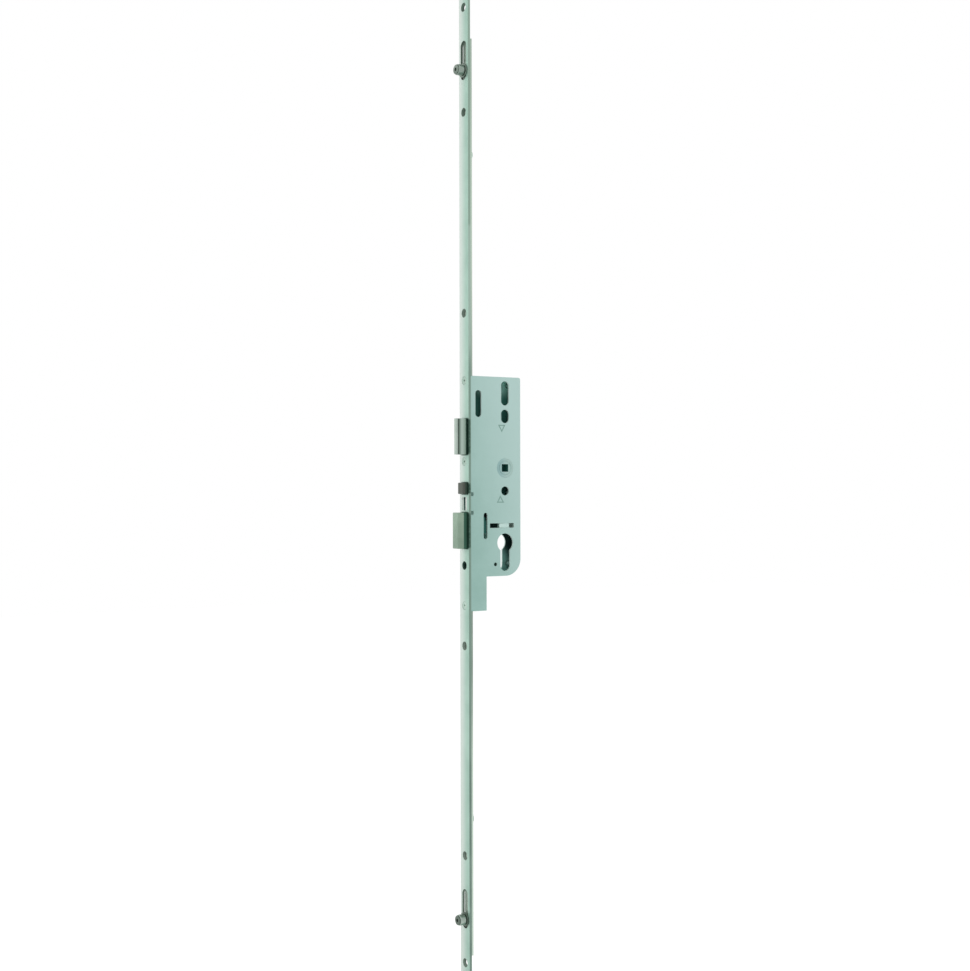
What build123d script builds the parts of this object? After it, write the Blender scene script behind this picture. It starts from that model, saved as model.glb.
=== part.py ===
from build123d import *
from math import acos, cos, degrees, pi, radians, sin, tan
import os

# Multipoint door lock: a faceplate strip with a gear case, latch, deadbolt, guard trigger,
# and two flat rods that carry a locking roller each.
# Millimetres. The origin is on the front face of the faceplate, level with the spindle.
# +X runs into the door, +Y across it, away from the case cover, and +Z up.
# Heights are measured from the spindle axis, so they are negative below it.

# Clearances shared by the whole lock
running = 0.3
shaft_fit = 0.05
seat_fit = 0.1
overrun = 4.0

# Faceplate strip
faceplate_width = 16.0
faceplate_thickness = 2.5
faceplate_above_roller = 74.0
faceplate_below_roller = 55.0
faceplate_corner = 1.5
fixing_hole_diameter = 4.6
fixing_sink_diameter = 8.2
fixing_above_upper_roller = 58.7
fixing_below_upper_roller = 38.6
fixing_above_lower_roller = 58.6
fixing_below_lower_roller = 40.5
middle_fixing_heights = (143.3, -165.0)
cylinder_screw_diameter = 5.6
cylinder_screw_sink = 8.0
cylinder_screw_drop = 20.5

# Standard hardware that the lock takes
backset = 40.0
spindle_square = 7.0
cylinder_drop = 70.0
cylinder_circle = 17.4
cylinder_slot_width = 10.4
cylinder_slot_drop = 26.5
handle_hole_drop = 21.5
handle_hole_diameter = 8.5
upper_hole_height = 48.3
upper_hole_width = 8.6
upper_hole_length = 12.7
top_slot_height = 69.8
top_slot_length = 22.7

# Case plates
case_thickness = 15.0
case_plate = 1.5
case_rear_margin = 17.0
case_top = 85.0
case_bottom = -101.0
case_rear_corner = 16.0
case_small_corner = 2.0
foot_depth = 17.0
foot_bottom = -132.6
case_notch_depth = 3.0
case_notch_height = 3.4
case_notch_heights = (-24.4, -41.6)

# Windows in the cover only
front_slot_x = 10.9
front_slot_width = 6.4
front_slot_height = 59.5
front_slot_length = 25.0
bolt_slot_x = 18.5
bolt_slot_width = 4.2
bolt_slot_height = -54.0
bolt_slot_length = 24.5
level_slot_margin = 0.25
dimple_x = 29.4
dimple_height = -90.0
dimple_diameter = 3.6

# Case posts: two columns of them, one towards the faceplate and one along the rear
post_diameter = 5.0
post_front_x = 22.0
post_rear_margin = 6.0
post_top_drop = 7.0
post_middle_height = -32.0
post_bottom_rise = 4.5

# Screws and blocks that join the case to the faceplate
case_screw_diameter = 4.0
case_screw_head = 7.6
case_screw_recess = 2.4
case_screw_length = 12.0
case_screw_below_top = 4.2
case_screw_below_latch = 6.4
case_screw_above_foot = 5.1
screw_block_height = 7.0
screw_block_depth = 8.0

# Rods
rod_width = 11.4
rod_thickness = 2.4
rod_gap = 0.7
rod_travel = 20.0
rod_slot_width = 5.6
rod_end_margin = 2.5
upper_rod_overhang = 29.0
lower_rod_overhang = 33.0
rod_stud_diameter = 5.0
rod_stud_head = 9.0
rod_stud_head_thickness = 1.2
rod_stud_heights = (290.0, -325.0)
rod_guide_top = 230.0
rod_guide_web = 0.4
rod_guide_lip = 1.6
rod_guide_lip_width = 1.8

# Rollers and their studs
upper_roller_height = 368.0
lower_roller_height = -418.0
roller_slot_width = 10.0
roller_slot_head = 7.5
roller_slot_foot = 8.5
roller_diameter = 10.0
roller_length = 6.0
roller_axial_gap = 0.2
roller_journal = 6.0
roller_collar = 13.0
roller_collar_thickness = 0.8
roller_cap = 8.6
roller_cap_thickness = 1.0
roller_socket = 3.0
roller_socket_depth = 1.6
roller_rivet = 5.0

# Drive slide and its gearing
slide_thickness = 1.5
slide_side_gap = 0.2
slide_tab_height = 4.0
slide_tab_thickness = 1.8
slide_finger_width = 4.0
slide_tab_gap = 2.3
rack_line_x = 14.5
gear_teeth = 34
first_tooth = -1
last_tooth = 5
pressure_angle = 20.0
gear_backlash = 0.24
flank_steps = 4
sector_ring = 12.5
key_width = 3.0
key_height = 1.4

# Follower
hub_diameter = 18.0
hub_inset = 0.05
hub_ring_diameter = 13.6
hub_ring_width = 0.8
hub_ring_depth = 0.4
arm_thickness = 3.0
nose_radius = 2.5
nose_arm_width = 3.0
return_arm_angle = 15.0
return_arm_reach = 12.0
return_arm_radius = 2.0

# Latch
latch_projection = 12.0
latch_height = 28.8
latch_length = 33.2
latch_depth = 8.0
latch_nose = 3.4
latch_bulge = 0.6
latch_root = 0.8
latch_groove = 1.0
latch_groove_depth = 0.5
latch_groove_setback = 1.8
latch_tail_height = 6.4
latch_tail_gap = 0.4
latch_tail_inlay = 4.0
latch_hook_thickness = 3.2
latch_rivet_diameter = 3.0
latch_bracket_thickness = 2.0
latch_bracket_ahead = 6.5
latch_bracket_top = 39.0

# Deadbolt
deadbolt_projection = 10.5
deadbolt_turn = 10.0
deadbolt_height = -58.0
deadbolt_length = 33.3
deadbolt_depth = 16.0
deadbolt_chamfer = 0.8
tail_thickness = 2.4
tail_top_above_cylinder = 24.0
tail_gap_above_cylinder = 0.8
tail_inlay = 7.5
tail_end_gap = 0.3
tail_notch_width = 5.0
tail_notch_depth = 3.0
talon_depth = 4.0
tail_window_start = 22.0
tail_window_height = 5.5
tail_rivet_diameter = 3.0
guide_lug_x = 36.5
guide_lug_length = 6.0
guide_lug_height = 3.8
guide_lug_tenon = 2.4

# Tumbler
tumbler_lift = 3.0
tumbler_thickness = 2.0
tumbler_rear_gap = 6.4
tumbler_height = 6.6
tumbler_ear_height = 12.4
tumbler_ear_length = 9.0
tumbler_ear_margin = 1.5
tumbler_tooth_height = 2.4
tumbler_tooth_margin = 0.3
tumbler_post_diameter = 3.5
tumbler_seat_height = 2.5
tumbler_seat_length = 6.0

# Guard trigger
trigger_projection = 5.0
trigger_travel = 4.5
trigger_height = -19.0
trigger_length = 10.6
trigger_depth = 8.0
trigger_round = 1.6
guard_foot_thickness = 1.8
guard_foot_drop = 15.6
guard_foot_gap = 0.7
guard_foot_margin = 1.0
guard_flange_depth = 5.0
guard_stem_diameter = 2.6
guard_stem_length = 4.0
guard_window_gap = 2.4
guard_window_height = 12.5
guard_window_width = 9.4
trigger_seat_x = 24.0
trigger_seat_thickness = 1.5
trigger_seat_flange = 4.0

# Springs, each as wire thickness, outside diameter and number of turns
latch_spring_wire = 0.9
latch_spring_diameter = 7.0
latch_spring_turns = 4
latch_spring_rise = 12.2
follower_spring_wire = 0.8
follower_spring_diameter = 5.2
follower_spring_turns = 4
follower_spring_length = 22.8
follower_seat_height = 3.0
trigger_spring_wire = 0.7
trigger_spring_diameter = 5.6
trigger_spring_turns = 3
tumbler_spring_wire = 0.5
tumbler_spring_diameter = 3.2
tumbler_spring_turns = 3
tumbler_spring_length = 6.1
spigot_length = 4.0
spring_fit = 0.3

# Depths into the door
back_x = faceplate_thickness
rod_front_x = back_x + rod_gap
rod_back_x = rod_front_x + rod_thickness
inner_x = rod_back_x + running
rim_x = inner_x + slide_side_gap
case_rear_x = backset + case_rear_margin
case_inner_rear_x = case_rear_x - case_plate
foot_rear_x = back_x + foot_depth

# Places across the door
case_half = case_thickness / 2
inner_half = case_half - case_plate
slide_far_y = inner_half - slide_side_gap
slide_near_y = slide_far_y - slide_thickness
bolt_far_y = slide_near_y - running
bolt_near_y = slide_side_gap - inner_half
bolt_mid_y = (bolt_far_y + bolt_near_y) / 2
arm_near_y = bolt_mid_y - arm_thickness / 2
arm_far_y = bolt_mid_y + arm_thickness / 2
tail_far_y = bolt_near_y + tail_thickness

# Heights
faceplate_top = upper_roller_height + faceplate_above_roller
faceplate_bottom = lower_roller_height - faceplate_below_roller
fixing_hole_heights = (
    upper_roller_height + fixing_above_upper_roller,
    upper_roller_height - fixing_below_upper_roller,
    *middle_fixing_heights,
    lower_roller_height + fixing_above_lower_roller,
    lower_roller_height - fixing_below_lower_roller,
)
latch_top = latch_height + latch_length / 2
latch_bottom = latch_height - latch_length / 2
trigger_top = trigger_height + trigger_length / 2
trigger_bottom = trigger_height - trigger_length / 2
deadbolt_top = deadbolt_height + deadbolt_length / 2
deadbolt_bottom = deadbolt_height - deadbolt_length / 2
top_screw_height = case_top - case_screw_below_top
middle_screw_height = latch_bottom - case_screw_below_latch
foot_screw_height = foot_bottom + case_screw_above_foot
cylinder_screw_height = -cylinder_drop - cylinder_screw_drop
top_block_bottom = case_top - case_plate - screw_block_height
foot_block_top = foot_bottom + case_plate + screw_block_height
upper_tab_top = top_block_bottom - rod_travel - slide_tab_gap
upper_tab_bottom = upper_tab_top - slide_tab_height
lower_tab_bottom = foot_block_top + slide_tab_gap
lower_tab_top = lower_tab_bottom + slide_tab_height
upper_rod_top = upper_roller_height + upper_rod_overhang
upper_rod_bottom = upper_tab_bottom - rod_end_margin
lower_rod_bottom = lower_roller_height - lower_rod_overhang
lower_rod_top = lower_tab_top + rod_end_margin

# Gearing
pitch_radius = backset - rack_line_x
gear_module = 2 * pitch_radius / gear_teeth
tip_radius = pitch_radius + gear_module
root_radius = pitch_radius - gear_module * 5 / 4
base_radius = pitch_radius * cos(radians(pressure_angle))
tooth_pitch = pi * gear_module
rack_root_x = rack_line_x - gear_module * 5 / 4
follower_turn = rod_travel / pitch_radius
nose_reach = latch_projection / (2 * sin(follower_turn / 2))
nose_angle = 90 + degrees(follower_turn) / 2
nose_x = backset - nose_reach * sin(follower_turn / 2)
nose_height = nose_reach * cos(follower_turn / 2)

# Latch tail and spring
tail_bottom = nose_reach + nose_radius + latch_tail_gap
tail_top = tail_bottom + latch_tail_height
hook_x = nose_x + nose_radius + running
hook_bottom = nose_height - nose_radius / 2
bracket_x = backset - latch_bracket_ahead - latch_bracket_thickness
latch_spring_height = tail_bottom + latch_spring_rise + nose_radius / 2

# Deadbolt tail, in the state of one turn thrown
deadbolt_tail_end = case_inner_rear_x - deadbolt_turn - tail_end_gap
deadbolt_tail_bottom = cylinder_circle / 2 + tail_gap_above_cylinder - cylinder_drop
deadbolt_tail_top = tail_top_above_cylinder - cylinder_drop
lug_height = (deadbolt_tail_bottom + deadbolt_tail_top) / 2 - running * 2
level_slot_start = guide_lug_x - guide_lug_length / 2 - deadbolt_turn - level_slot_margin
level_slot_end = guide_lug_x + guide_lug_length / 2 + deadbolt_turn + level_slot_margin

# Tumbler, resting just above the tail
tumbler_bottom = deadbolt_tail_top + running
tumbler_x = guide_lug_x - deadbolt_turn / 2
tumbler_tooth_length = tail_notch_width - 2 * tumbler_tooth_margin
tumbler_front_x = tumbler_x - tumbler_tooth_length
tumbler_rear_x = case_inner_rear_x - tumbler_rear_gap
tumbler_post_x = tumbler_rear_x - tumbler_ear_length / 2
tumbler_slot_width = tumbler_post_diameter + 2 * running
tumbler_slot_top = tumbler_bottom + tumbler_ear_height - tumbler_ear_margin
tumbler_post_height = tumbler_slot_top - tumbler_slot_width / 2
tumbler_spring_bottom = tumbler_bottom + tumbler_height + seat_fit
tumbler_spring_top = tumbler_spring_bottom + tumbler_spring_length


def block(x, y, z):
    """A box between pairs of faces."""
    size = (x[1] - x[0], y[1] - y[0], z[1] - z[0])
    centre = ((x[0] + x[1]) / 2, (y[0] + y[1]) / 2, (z[0] + z[1]) / 2)
    return Pos(*centre) * Box(*size)


def pin_x(diameter, x, y, z):
    """A round pin along X between the two depths in x."""
    return extrude(Plane(origin=(x[0], y, z), z_dir=(1, 0, 0)) * Circle(diameter / 2), x[1] - x[0])


def pin_y(diameter, x, y, z):
    """A round pin along Y between the two places in y."""
    return extrude(Plane(origin=(x, y[0], z), z_dir=(0, 1, 0)) * Circle(diameter / 2), y[1] - y[0])


def pin_z(diameter, x, y, z):
    """A round pin along Z between the two heights in z."""
    return extrude(Plane(origin=(x, y, z[0]), z_dir=(0, 0, 1)) * Circle(diameter / 2), z[1] - z[0])


def side_sheet(sketch, y):
    """A sheet seen from the side: its sketch is in X and Z, its thickness between the two y."""
    plane = Plane(origin=(0, y[1], 0), x_dir=(1, 0, 0), z_dir=(0, -1, 0))
    return extrude(plane * sketch, y[1] - y[0])


def front_sheet(sketch, x):
    """A sheet seen from the front: its sketch is in Y and Z, its thickness between the two x."""
    plane = Plane(origin=(x[0], 0, 0), x_dir=(0, 1, 0), z_dir=(1, 0, 0))
    return extrude(plane * sketch, x[1] - x[0])


def panel(u, v):
    """A flat rectangle between pairs of sides."""
    return Pos((u[0] + u[1]) / 2, (v[0] + v[1]) / 2) * Rectangle(u[1] - u[0], v[1] - v[0])


def upright_slot(u, v, width):
    """A slot with round ends, between the two heights in v."""
    return Pos(u, (v[0] + v[1]) / 2) * SlotOverall(v[1] - v[0], width, rotation=90)


def countersink(hole, sink, z):
    """The tool that cuts a hole with a 90 degree sink into the front of the faceplate."""
    depth = (sink - hole) / 2
    through = pin_x(hole, (-overrun, back_x + overrun), 0, z)
    cone = Plane(origin=(0, 0, z), z_dir=(1, 0, 0)) * Pos(0, 0, depth / 2) * Cone(sink / 2, hole / 2, depth)
    return through + cone


def coil(start, direction, length, wire, diameter, turns):
    """A compression spring of four-sided wire, wound between two seats."""
    mean_radius = (diameter - wire) / 2
    rise = length - wire
    path = Helix(pitch=rise / turns, height=rise, radius=mean_radius)
    section = Plane(origin=path @ 0, z_dir=path % 0) * RegularPolygon(wire / 2, 4)
    wound = Pos(0, 0, wire / 2) * sweep(section, path=path, is_frenet=True)
    gap = rise / turns - wire
    print(f"spring of {turns} turns: least gap between turns {gap:.2f} mm")
    return Plane(origin=start, z_dir=direction) * wound


def case_outline():
    """The side view of the case, with its foot, as both plates have it."""
    corner_x = case_rear_x - case_rear_corner
    corner_z = case_bottom + case_rear_corner
    bend = case_rear_corner * sin(radians(45))
    outline = Polyline(
        (corner_x, case_bottom),
        (foot_rear_x, case_bottom),
        (foot_rear_x, foot_bottom),
        (back_x, foot_bottom),
        (back_x, case_top),
        (case_rear_x, case_top),
        (case_rear_x, corner_z),
    )
    arc = ThreePointArc(
        (case_rear_x, corner_z),
        (corner_x + bend, corner_z - bend),
        (corner_x, case_bottom),
    )
    face = make_face([outline, arc])
    rear_top = face.vertices().sort_by(lambda v: v.X + v.Y)[-1]
    return fillet(rear_top, case_small_corner)


def cylinder_profile():
    """The cut-out for a profile cylinder: a circle over a round-ended slot."""
    slot_end = -cylinder_drop - cylinder_slot_drop
    circle = Pos(backset, -cylinder_drop) * Circle(cylinder_circle / 2)
    return circle + upright_slot(backset, (slot_end, -cylinder_drop), cylinder_slot_width)


def shared_cuts():
    """Openings that go right through the lock, so both plates have them."""
    hub_hole = Pos(backset, 0) * Circle(hub_diameter / 2 + shaft_fit)
    handle_hole = Pos(backset, -handle_hole_drop) * Circle(handle_hole_diameter / 2)
    upper_hole_half = upper_hole_length / 2
    upper = upright_slot(
        backset, (upper_hole_height - upper_hole_half, upper_hole_height + upper_hole_half), upper_hole_width
    )
    slot_half = top_slot_length / 2
    top = upright_slot(backset, (top_slot_height - slot_half, top_slot_height + slot_half), upper_hole_width)
    return hub_hole + handle_hole + upper + top + cylinder_profile()


def make_lock_case():
    """The far plate, with only the openings that go right through the lock."""
    return side_sheet(case_outline() - shared_cuts(), (inner_half, case_half))


def make_case_rim():
    """The band that closes the case all round, open behind the faceplate for the rods."""
    outline = case_outline()
    inside = offset(outline, -case_plate, kind=Kind.INTERSECTION)
    rim = side_sheet(outline - inside, (-inner_half, inner_half))
    heights = (foot_bottom - overrun, case_top + overrun)
    return rim - block((back_x - overrun, rim_x), (-case_half, case_half), heights)


def make_case_cover():
    """The near plate, with the windows that the photographed side has."""
    cuts = shared_cuts()
    slot_half = front_slot_length / 2
    cuts += upright_slot(
        front_slot_x, (front_slot_height - slot_half, front_slot_height + slot_half), front_slot_width
    )
    bolt_half = bolt_slot_length / 2
    cuts += upright_slot(
        bolt_slot_x, (bolt_slot_height - bolt_half, bolt_slot_height + bolt_half), bolt_slot_width
    )
    level_half = guide_lug_height / 2 + level_slot_margin
    cuts += panel((level_slot_start, level_slot_end), (lug_height - level_half, lug_height + level_half))
    cuts += Pos(dimple_x, dimple_height) * Circle(dimple_diameter / 2)
    notch_half = case_notch_height / 2
    for z in case_notch_heights:
        cuts += panel((back_x, back_x + case_notch_depth), (z - notch_half, z + notch_half))
    cover = case_outline() - cuts
    return side_sheet(cover, (-case_half, -inner_half))


def make_case_posts():
    """Posts that hold the two plates apart, with no ends to see on the plates."""
    rear_x = case_rear_x - post_rear_margin
    low = case_bottom + case_rear_corner - post_diameter
    places = (
        (post_front_x, case_top - post_top_drop),
        (rear_x, case_top - post_top_drop),
        (post_front_x, post_middle_height),
        (rear_x, low),
        (post_front_x, case_bottom + post_bottom_rise),
    )
    return [pin_y(post_diameter, x, (-inner_half, inner_half), z) for x, z in places]


def make_tumbler_post():
    """The pin that the tumbler slides up and down on."""
    return pin_y(tumbler_post_diameter, tumbler_post_x, (-inner_half, inner_half), tumbler_post_height)


def window(top, bottom):
    """The opening in the faceplate for a bolt between the two heights."""
    return panel((bolt_near_y - running, bolt_far_y + running), (bottom - running, top + running))


def roller_slot(height):
    """The slot that a roller stud travels in."""
    ends = (height - roller_slot_foot, height + rod_travel + roller_slot_head)
    return upright_slot(0, ends, roller_slot_width)


def make_faceplate():
    """The strip that is screwed to the edge of the door."""
    middle = (faceplate_top + faceplate_bottom) / 2
    length = faceplate_top - faceplate_bottom
    outline = Pos(0, middle) * RectangleRounded(faceplate_width, length, faceplate_corner)
    cuts = window(latch_top, latch_bottom) + window(trigger_top, trigger_bottom)
    cuts += window(deadbolt_top, deadbolt_bottom)
    guard_half = guard_window_width / 2
    guard_top = trigger_bottom - running - guard_window_gap
    cuts += panel((-guard_half, guard_half), (guard_top - guard_window_height, guard_top))
    cuts += roller_slot(upper_roller_height) + roller_slot(lower_roller_height)
    plate = front_sheet(outline - cuts, (0, back_x))
    for z in fixing_hole_heights:
        plate -= countersink(fixing_hole_diameter, fixing_sink_diameter, z)
    for z in (top_screw_height, middle_screw_height, foot_screw_height):
        plate -= countersink(case_screw_diameter + 2 * seat_fit, case_screw_head + 2 * seat_fit, z)
    return plate - countersink(cylinder_screw_diameter, cylinder_screw_sink, cylinder_screw_height)


def make_case_screws():
    """Three sunk screws with a cross recess, from the faceplate into the blocks."""
    depth = (case_screw_head - case_screw_diameter) / 2
    inset = seat_fit / 2
    screws = []
    for z in (top_screw_height, middle_screw_height, foot_screw_height):
        head_place = Plane(origin=(inset, 0, z), z_dir=(1, 0, 0)) * Pos(0, 0, depth / 2)
        head = head_place * Cone(case_screw_head / 2, case_screw_diameter / 2, depth)
        shank = pin_x(case_screw_diameter, (inset + depth, case_screw_length), 0, z)
        arm = case_screw_recess / 2
        slot = case_screw_recess / 6
        recess = block((-overrun, inset + arm), (-slot, slot), (z - arm, z + arm))
        recess += block((-overrun, inset + arm), (-arm, arm), (z - slot, z + slot))
        screws.append(head + shank - recess)
    return screws


def make_screw_blocks():
    """Threaded blocks held between the case plates, one behind each case screw."""
    places = (
        (top_screw_height, rim_x, bolt_far_y, top_block_bottom),
        (middle_screw_height, back_x, bolt_far_y, middle_screw_height - screw_block_height / 2),
        (foot_screw_height, rim_x, inner_half, foot_bottom + case_plate),
    )
    blocks = []
    for z, front, far, bottom in places:
        heights = (bottom, bottom + screw_block_height)
        body = block((front, front + screw_block_depth), (-inner_half, far), heights)
        depths = (front - overrun, case_screw_length + seat_fit)
        blocks.append(body - pin_x(case_screw_diameter + 2 * shaft_fit, depths, 0, z))
    return blocks


def rod_slots(heights, bottom, top):
    """Slots that let fixed screws and studs stand still while the rod rises past them."""
    reach = rod_slot_width / 2
    slots = []
    for z in heights:
        low = z - rod_travel - reach
        high = z + reach
        if low > bottom and high < top:
            slots.append(upright_slot(0, (low, high), rod_slot_width))
    return slots


def make_rod(bottom, top, roller_height, tab):
    """One flat rod: a strip with screw slots, a stud hole and an eye for the drive slide."""
    outline = panel((-rod_width / 2, rod_width / 2), (bottom, top))
    half = slide_finger_width / 2 + seat_fit
    outline -= panel((-half, half), (tab[0] - seat_fit, tab[1] + seat_fit))
    stops = fixing_hole_heights + rod_stud_heights + (top_screw_height, foot_screw_height)
    for slot in rod_slots(stops, bottom, top):
        outline -= slot
    outline -= Pos(0, roller_height) * Circle(roller_rivet / 2 + shaft_fit)
    return front_sheet(outline, (rod_front_x, rod_back_x))


def make_upper_rod():
    """The rod from the case up to the upper roller."""
    return make_rod(upper_rod_bottom, upper_rod_top, upper_roller_height, (upper_tab_bottom, upper_tab_top))


def make_lower_rod():
    """The rod from the case down to the lower roller."""
    return make_rod(lower_rod_bottom, lower_rod_top, lower_roller_height, (lower_tab_bottom, lower_tab_top))


def make_rod_studs():
    """Headed studs on the back of the faceplate that keep the rods against it."""
    studs = []
    for z in rod_stud_heights:
        head_x = rod_back_x + running
        shank = pin_x(rod_stud_diameter, (back_x, head_x), 0, z)
        studs.append(shank + pin_x(rod_stud_head, (head_x, head_x + rod_stud_head_thickness), 0, z))
    return studs


def make_upper_rod_guide():
    """The channel between faceplate and rod above the case, flush with the strip's edges."""
    bottom = case_top + seat_fit
    half = faceplate_width / 2
    web = block((back_x, back_x + rod_guide_web), (-half, half), (bottom, rod_guide_top))
    lip_x = (back_x, back_x + rod_guide_lip)
    near_lip = block(lip_x, (-half, rod_guide_lip_width - half), (bottom, rod_guide_top))
    far_lip = block(lip_x, (half - rod_guide_lip_width, half), (bottom, rod_guide_top))
    guide = web + near_lip + far_lip
    for z in fixing_hole_heights + rod_stud_heights:
        guide -= pin_x(rod_stud_diameter + 2 * seat_fit, (0, back_x + overrun), 0, z)
    return guide


def make_roller_stud(height):
    """The stud that is riveted to a rod and carries a roller in front of the faceplate."""
    collar_x = -running - roller_collar_thickness
    journal_x = collar_x - roller_length - 2 * roller_axial_gap
    cap_x = journal_x - roller_cap_thickness
    stud = pin_x(roller_slot_width - 2 * running, (-running, rod_front_x), 0, height)
    stud += pin_x(roller_collar, (collar_x, -running), 0, height)
    stud += pin_x(roller_journal, (journal_x, collar_x), 0, height)
    stud += pin_x(roller_cap, (cap_x, journal_x), 0, height)
    stud += pin_x(roller_rivet, (rod_front_x, rod_back_x), 0, height)
    hexagon = RegularPolygon(roller_socket / 2, 6, major_radius=False)
    socket = Plane(origin=(cap_x, 0, height), z_dir=(1, 0, 0)) * hexagon
    return stud - extrude(socket, roller_socket_depth)


def make_roller(height):
    """A locking roller, free to turn on its stud."""
    rear_x = -running - roller_collar_thickness - roller_axial_gap
    front_x = rear_x - roller_length
    body = pin_x(roller_diameter, (front_x, rear_x), 0, height)
    return body - pin_x(roller_journal + 2 * shaft_fit, (front_x - overrun, rear_x + overrun), 0, height)


def rack_teeth():
    """The teeth on the rear edge of the drive slide, with straight flanks."""
    slope = tan(radians(pressure_angle))
    half = tooth_pitch / 4 - gear_backlash / 4
    rise = gear_module
    fall = gear_module * 5 / 4
    teeth = []
    for number in range(first_tooth - 1, last_tooth + 1):
        z = -(number + 1 / 2) * tooth_pitch
        teeth.append(
            Polygon(
                (rack_root_x, z - half - fall * slope),
                (rack_line_x + rise, z - half + rise * slope),
                (rack_line_x + rise, z + half - rise * slope),
                (rack_root_x, z + half + fall * slope),
                align=None,
            )
        )
    return teeth


def make_drive_slide():
    """The rack plate beside the bolts, with a hooked tab for each rod."""
    outline = panel((inner_x, rack_root_x), (lower_tab_bottom, upper_tab_top))
    for tooth in rack_teeth():
        outline += tooth
    slide = side_sheet(outline, (slide_near_y, slide_far_y))
    half = slide_finger_width / 2
    for z in ((lower_tab_bottom, lower_tab_top), (upper_tab_bottom, upper_tab_top)):
        slide += block((inner_x, inner_x + slide_tab_thickness), (-half, slide_far_y), z)
        slide += block((rod_front_x, inner_x), (-half, half), z)
    return slide


def flank(radius, backwards):
    """A point on an involute flank, as an angle from the middle of its tooth."""
    roll = tan(acos(min(1, base_radius / radius))) - acos(min(1, base_radius / radius))
    start = tan(radians(pressure_angle)) - radians(pressure_angle)
    half = (tooth_pitch / 2 - gear_backlash / 2) / 2 / pitch_radius
    angle = half + start - roll
    return -angle if backwards else angle


def sector_tooth(number):
    """The points of one tooth of the sector, from its lower to its upper root."""
    middle = pi + number * 2 * pi / gear_teeth
    radii = [base_radius + (tip_radius - base_radius) * step / flank_steps for step in range(flank_steps + 1)]
    rising = [(root_radius, middle + flank(base_radius, True))]
    rising += [(radius, middle + flank(radius, True)) for radius in radii]
    falling = [(radius, middle + flank(radius, False)) for radius in reversed(radii)]
    falling += [(root_radius, middle + flank(base_radius, False))]
    return [(backset + radius * cos(angle), radius * sin(angle)) for radius, angle in rising + falling]


def make_drive_sector():
    """The toothed sector that turns with the hub and lifts the rack."""
    points = []
    for number in range(first_tooth, last_tooth + 1):
        points += sector_tooth(number)
    web = Polygon(*points, (backset, 0), align=None)
    outline = web + Pos(backset, 0) * Circle(sector_ring)
    outline -= Pos(backset, 0) * Circle(hub_diameter / 2 + shaft_fit)
    reach = hub_diameter / 2 + key_height
    half = key_width / 2 + shaft_fit
    keyway = panel((backset, backset + reach + shaft_fit), (-half, half))
    return side_sheet(outline - keyway, (slide_near_y, slide_far_y))


def arm(angle, reach, radius, width):
    """A round-ended arm from the hub's axis at an angle above the +X direction."""
    shape = Pos(reach / 2, 0) * Rectangle(reach, width) + Pos(reach, 0) * Circle(radius)
    return Pos(backset, 0) * Rot(0, 0, angle) * shape


def make_follower_hub():
    """The follower: square hole, bearing ends, latch nose, spring arm and key for the sector."""
    end = case_half - hub_inset
    hub = pin_y(hub_diameter, backset, (-end, end), 0)
    arms = arm(nose_angle, nose_reach, nose_radius, nose_arm_width)
    arms += arm(return_arm_angle, return_arm_reach, return_arm_radius, 2 * return_arm_radius)
    hub += side_sheet(arms, (arm_near_y, arm_far_y))
    reach = hub_diameter / 2 + key_height
    hub += block((backset, backset + reach), (slide_near_y, slide_far_y), (-key_width / 2, key_width / 2))
    square = Pos(backset, 0) * Rectangle(spindle_square, spindle_square)
    hub -= side_sheet(square, (-case_half, case_half))
    groove = Pos(backset, 0) * (
        Circle(hub_ring_diameter / 2) - Circle(hub_ring_diameter / 2 - hub_ring_width)
    )
    return hub - side_sheet(groove, (-end, hub_ring_depth - end))


def make_follower_spring():
    """The upright spring under the follower's arm."""
    x = backset + return_arm_reach
    angle = radians(return_arm_angle)
    top = return_arm_reach * sin(angle) - return_arm_radius - running
    bottom = top - follower_spring_length
    spring = coil(
        (x, bolt_mid_y, bottom), (0, 0, 1), follower_spring_length,
        follower_spring_wire, follower_spring_diameter, follower_spring_turns,
    )
    half = follower_spring_diameter / 2 + follower_spring_wire
    seat = block(
        (x - half, case_inner_rear_x), (-inner_half, inner_half), (bottom - follower_seat_height, bottom)
    )
    spigot = follower_spring_diameter - 2 * follower_spring_wire - 2 * spring_fit
    seat += pin_z(spigot, x, bolt_mid_y, (bottom, bottom + spigot_length))
    return spring, seat


def make_latch_bolt():
    """The bevelled latch, flat towards the cover and curved towards the far side."""
    nose_y = bolt_near_y + latch_nose
    middle = ((-latch_projection - latch_root) / 2 - latch_bulge, (nose_y + bolt_far_y) / 2 + latch_bulge)
    flat = Polyline(
        (-latch_root, bolt_far_y),
        (latch_depth, bolt_far_y),
        (latch_depth, bolt_near_y),
        (-latch_projection, bolt_near_y),
        (-latch_projection, nose_y),
    )
    bevel = ThreePointArc((-latch_projection, nose_y), middle, (-latch_root, bolt_far_y))
    head = extrude(Plane(origin=(0, 0, latch_bottom)) * make_face([flat, bevel]), latch_length)
    groove_x = latch_groove_setback - latch_projection
    head -= block(
        (groove_x, groove_x + latch_groove),
        (bolt_near_y - overrun, bolt_near_y + latch_groove_depth),
        (latch_bottom - overrun, latch_top + overrun),
    )
    head -= block(
        (latch_depth - latch_tail_inlay, latch_depth + overrun),
        (arm_near_y - shaft_fit, arm_far_y + shaft_fit),
        (tail_bottom - shaft_fit, tail_top + shaft_fit),
    )
    head -= pin_y(latch_rivet_diameter + 2 * shaft_fit, *latch_rivet_place())
    spigot = latch_spring_diameter - 2 * latch_spring_wire - 2 * spring_fit
    return head + pin_x(spigot, (latch_depth, latch_depth + spigot_length), bolt_mid_y, latch_spring_height)


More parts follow.
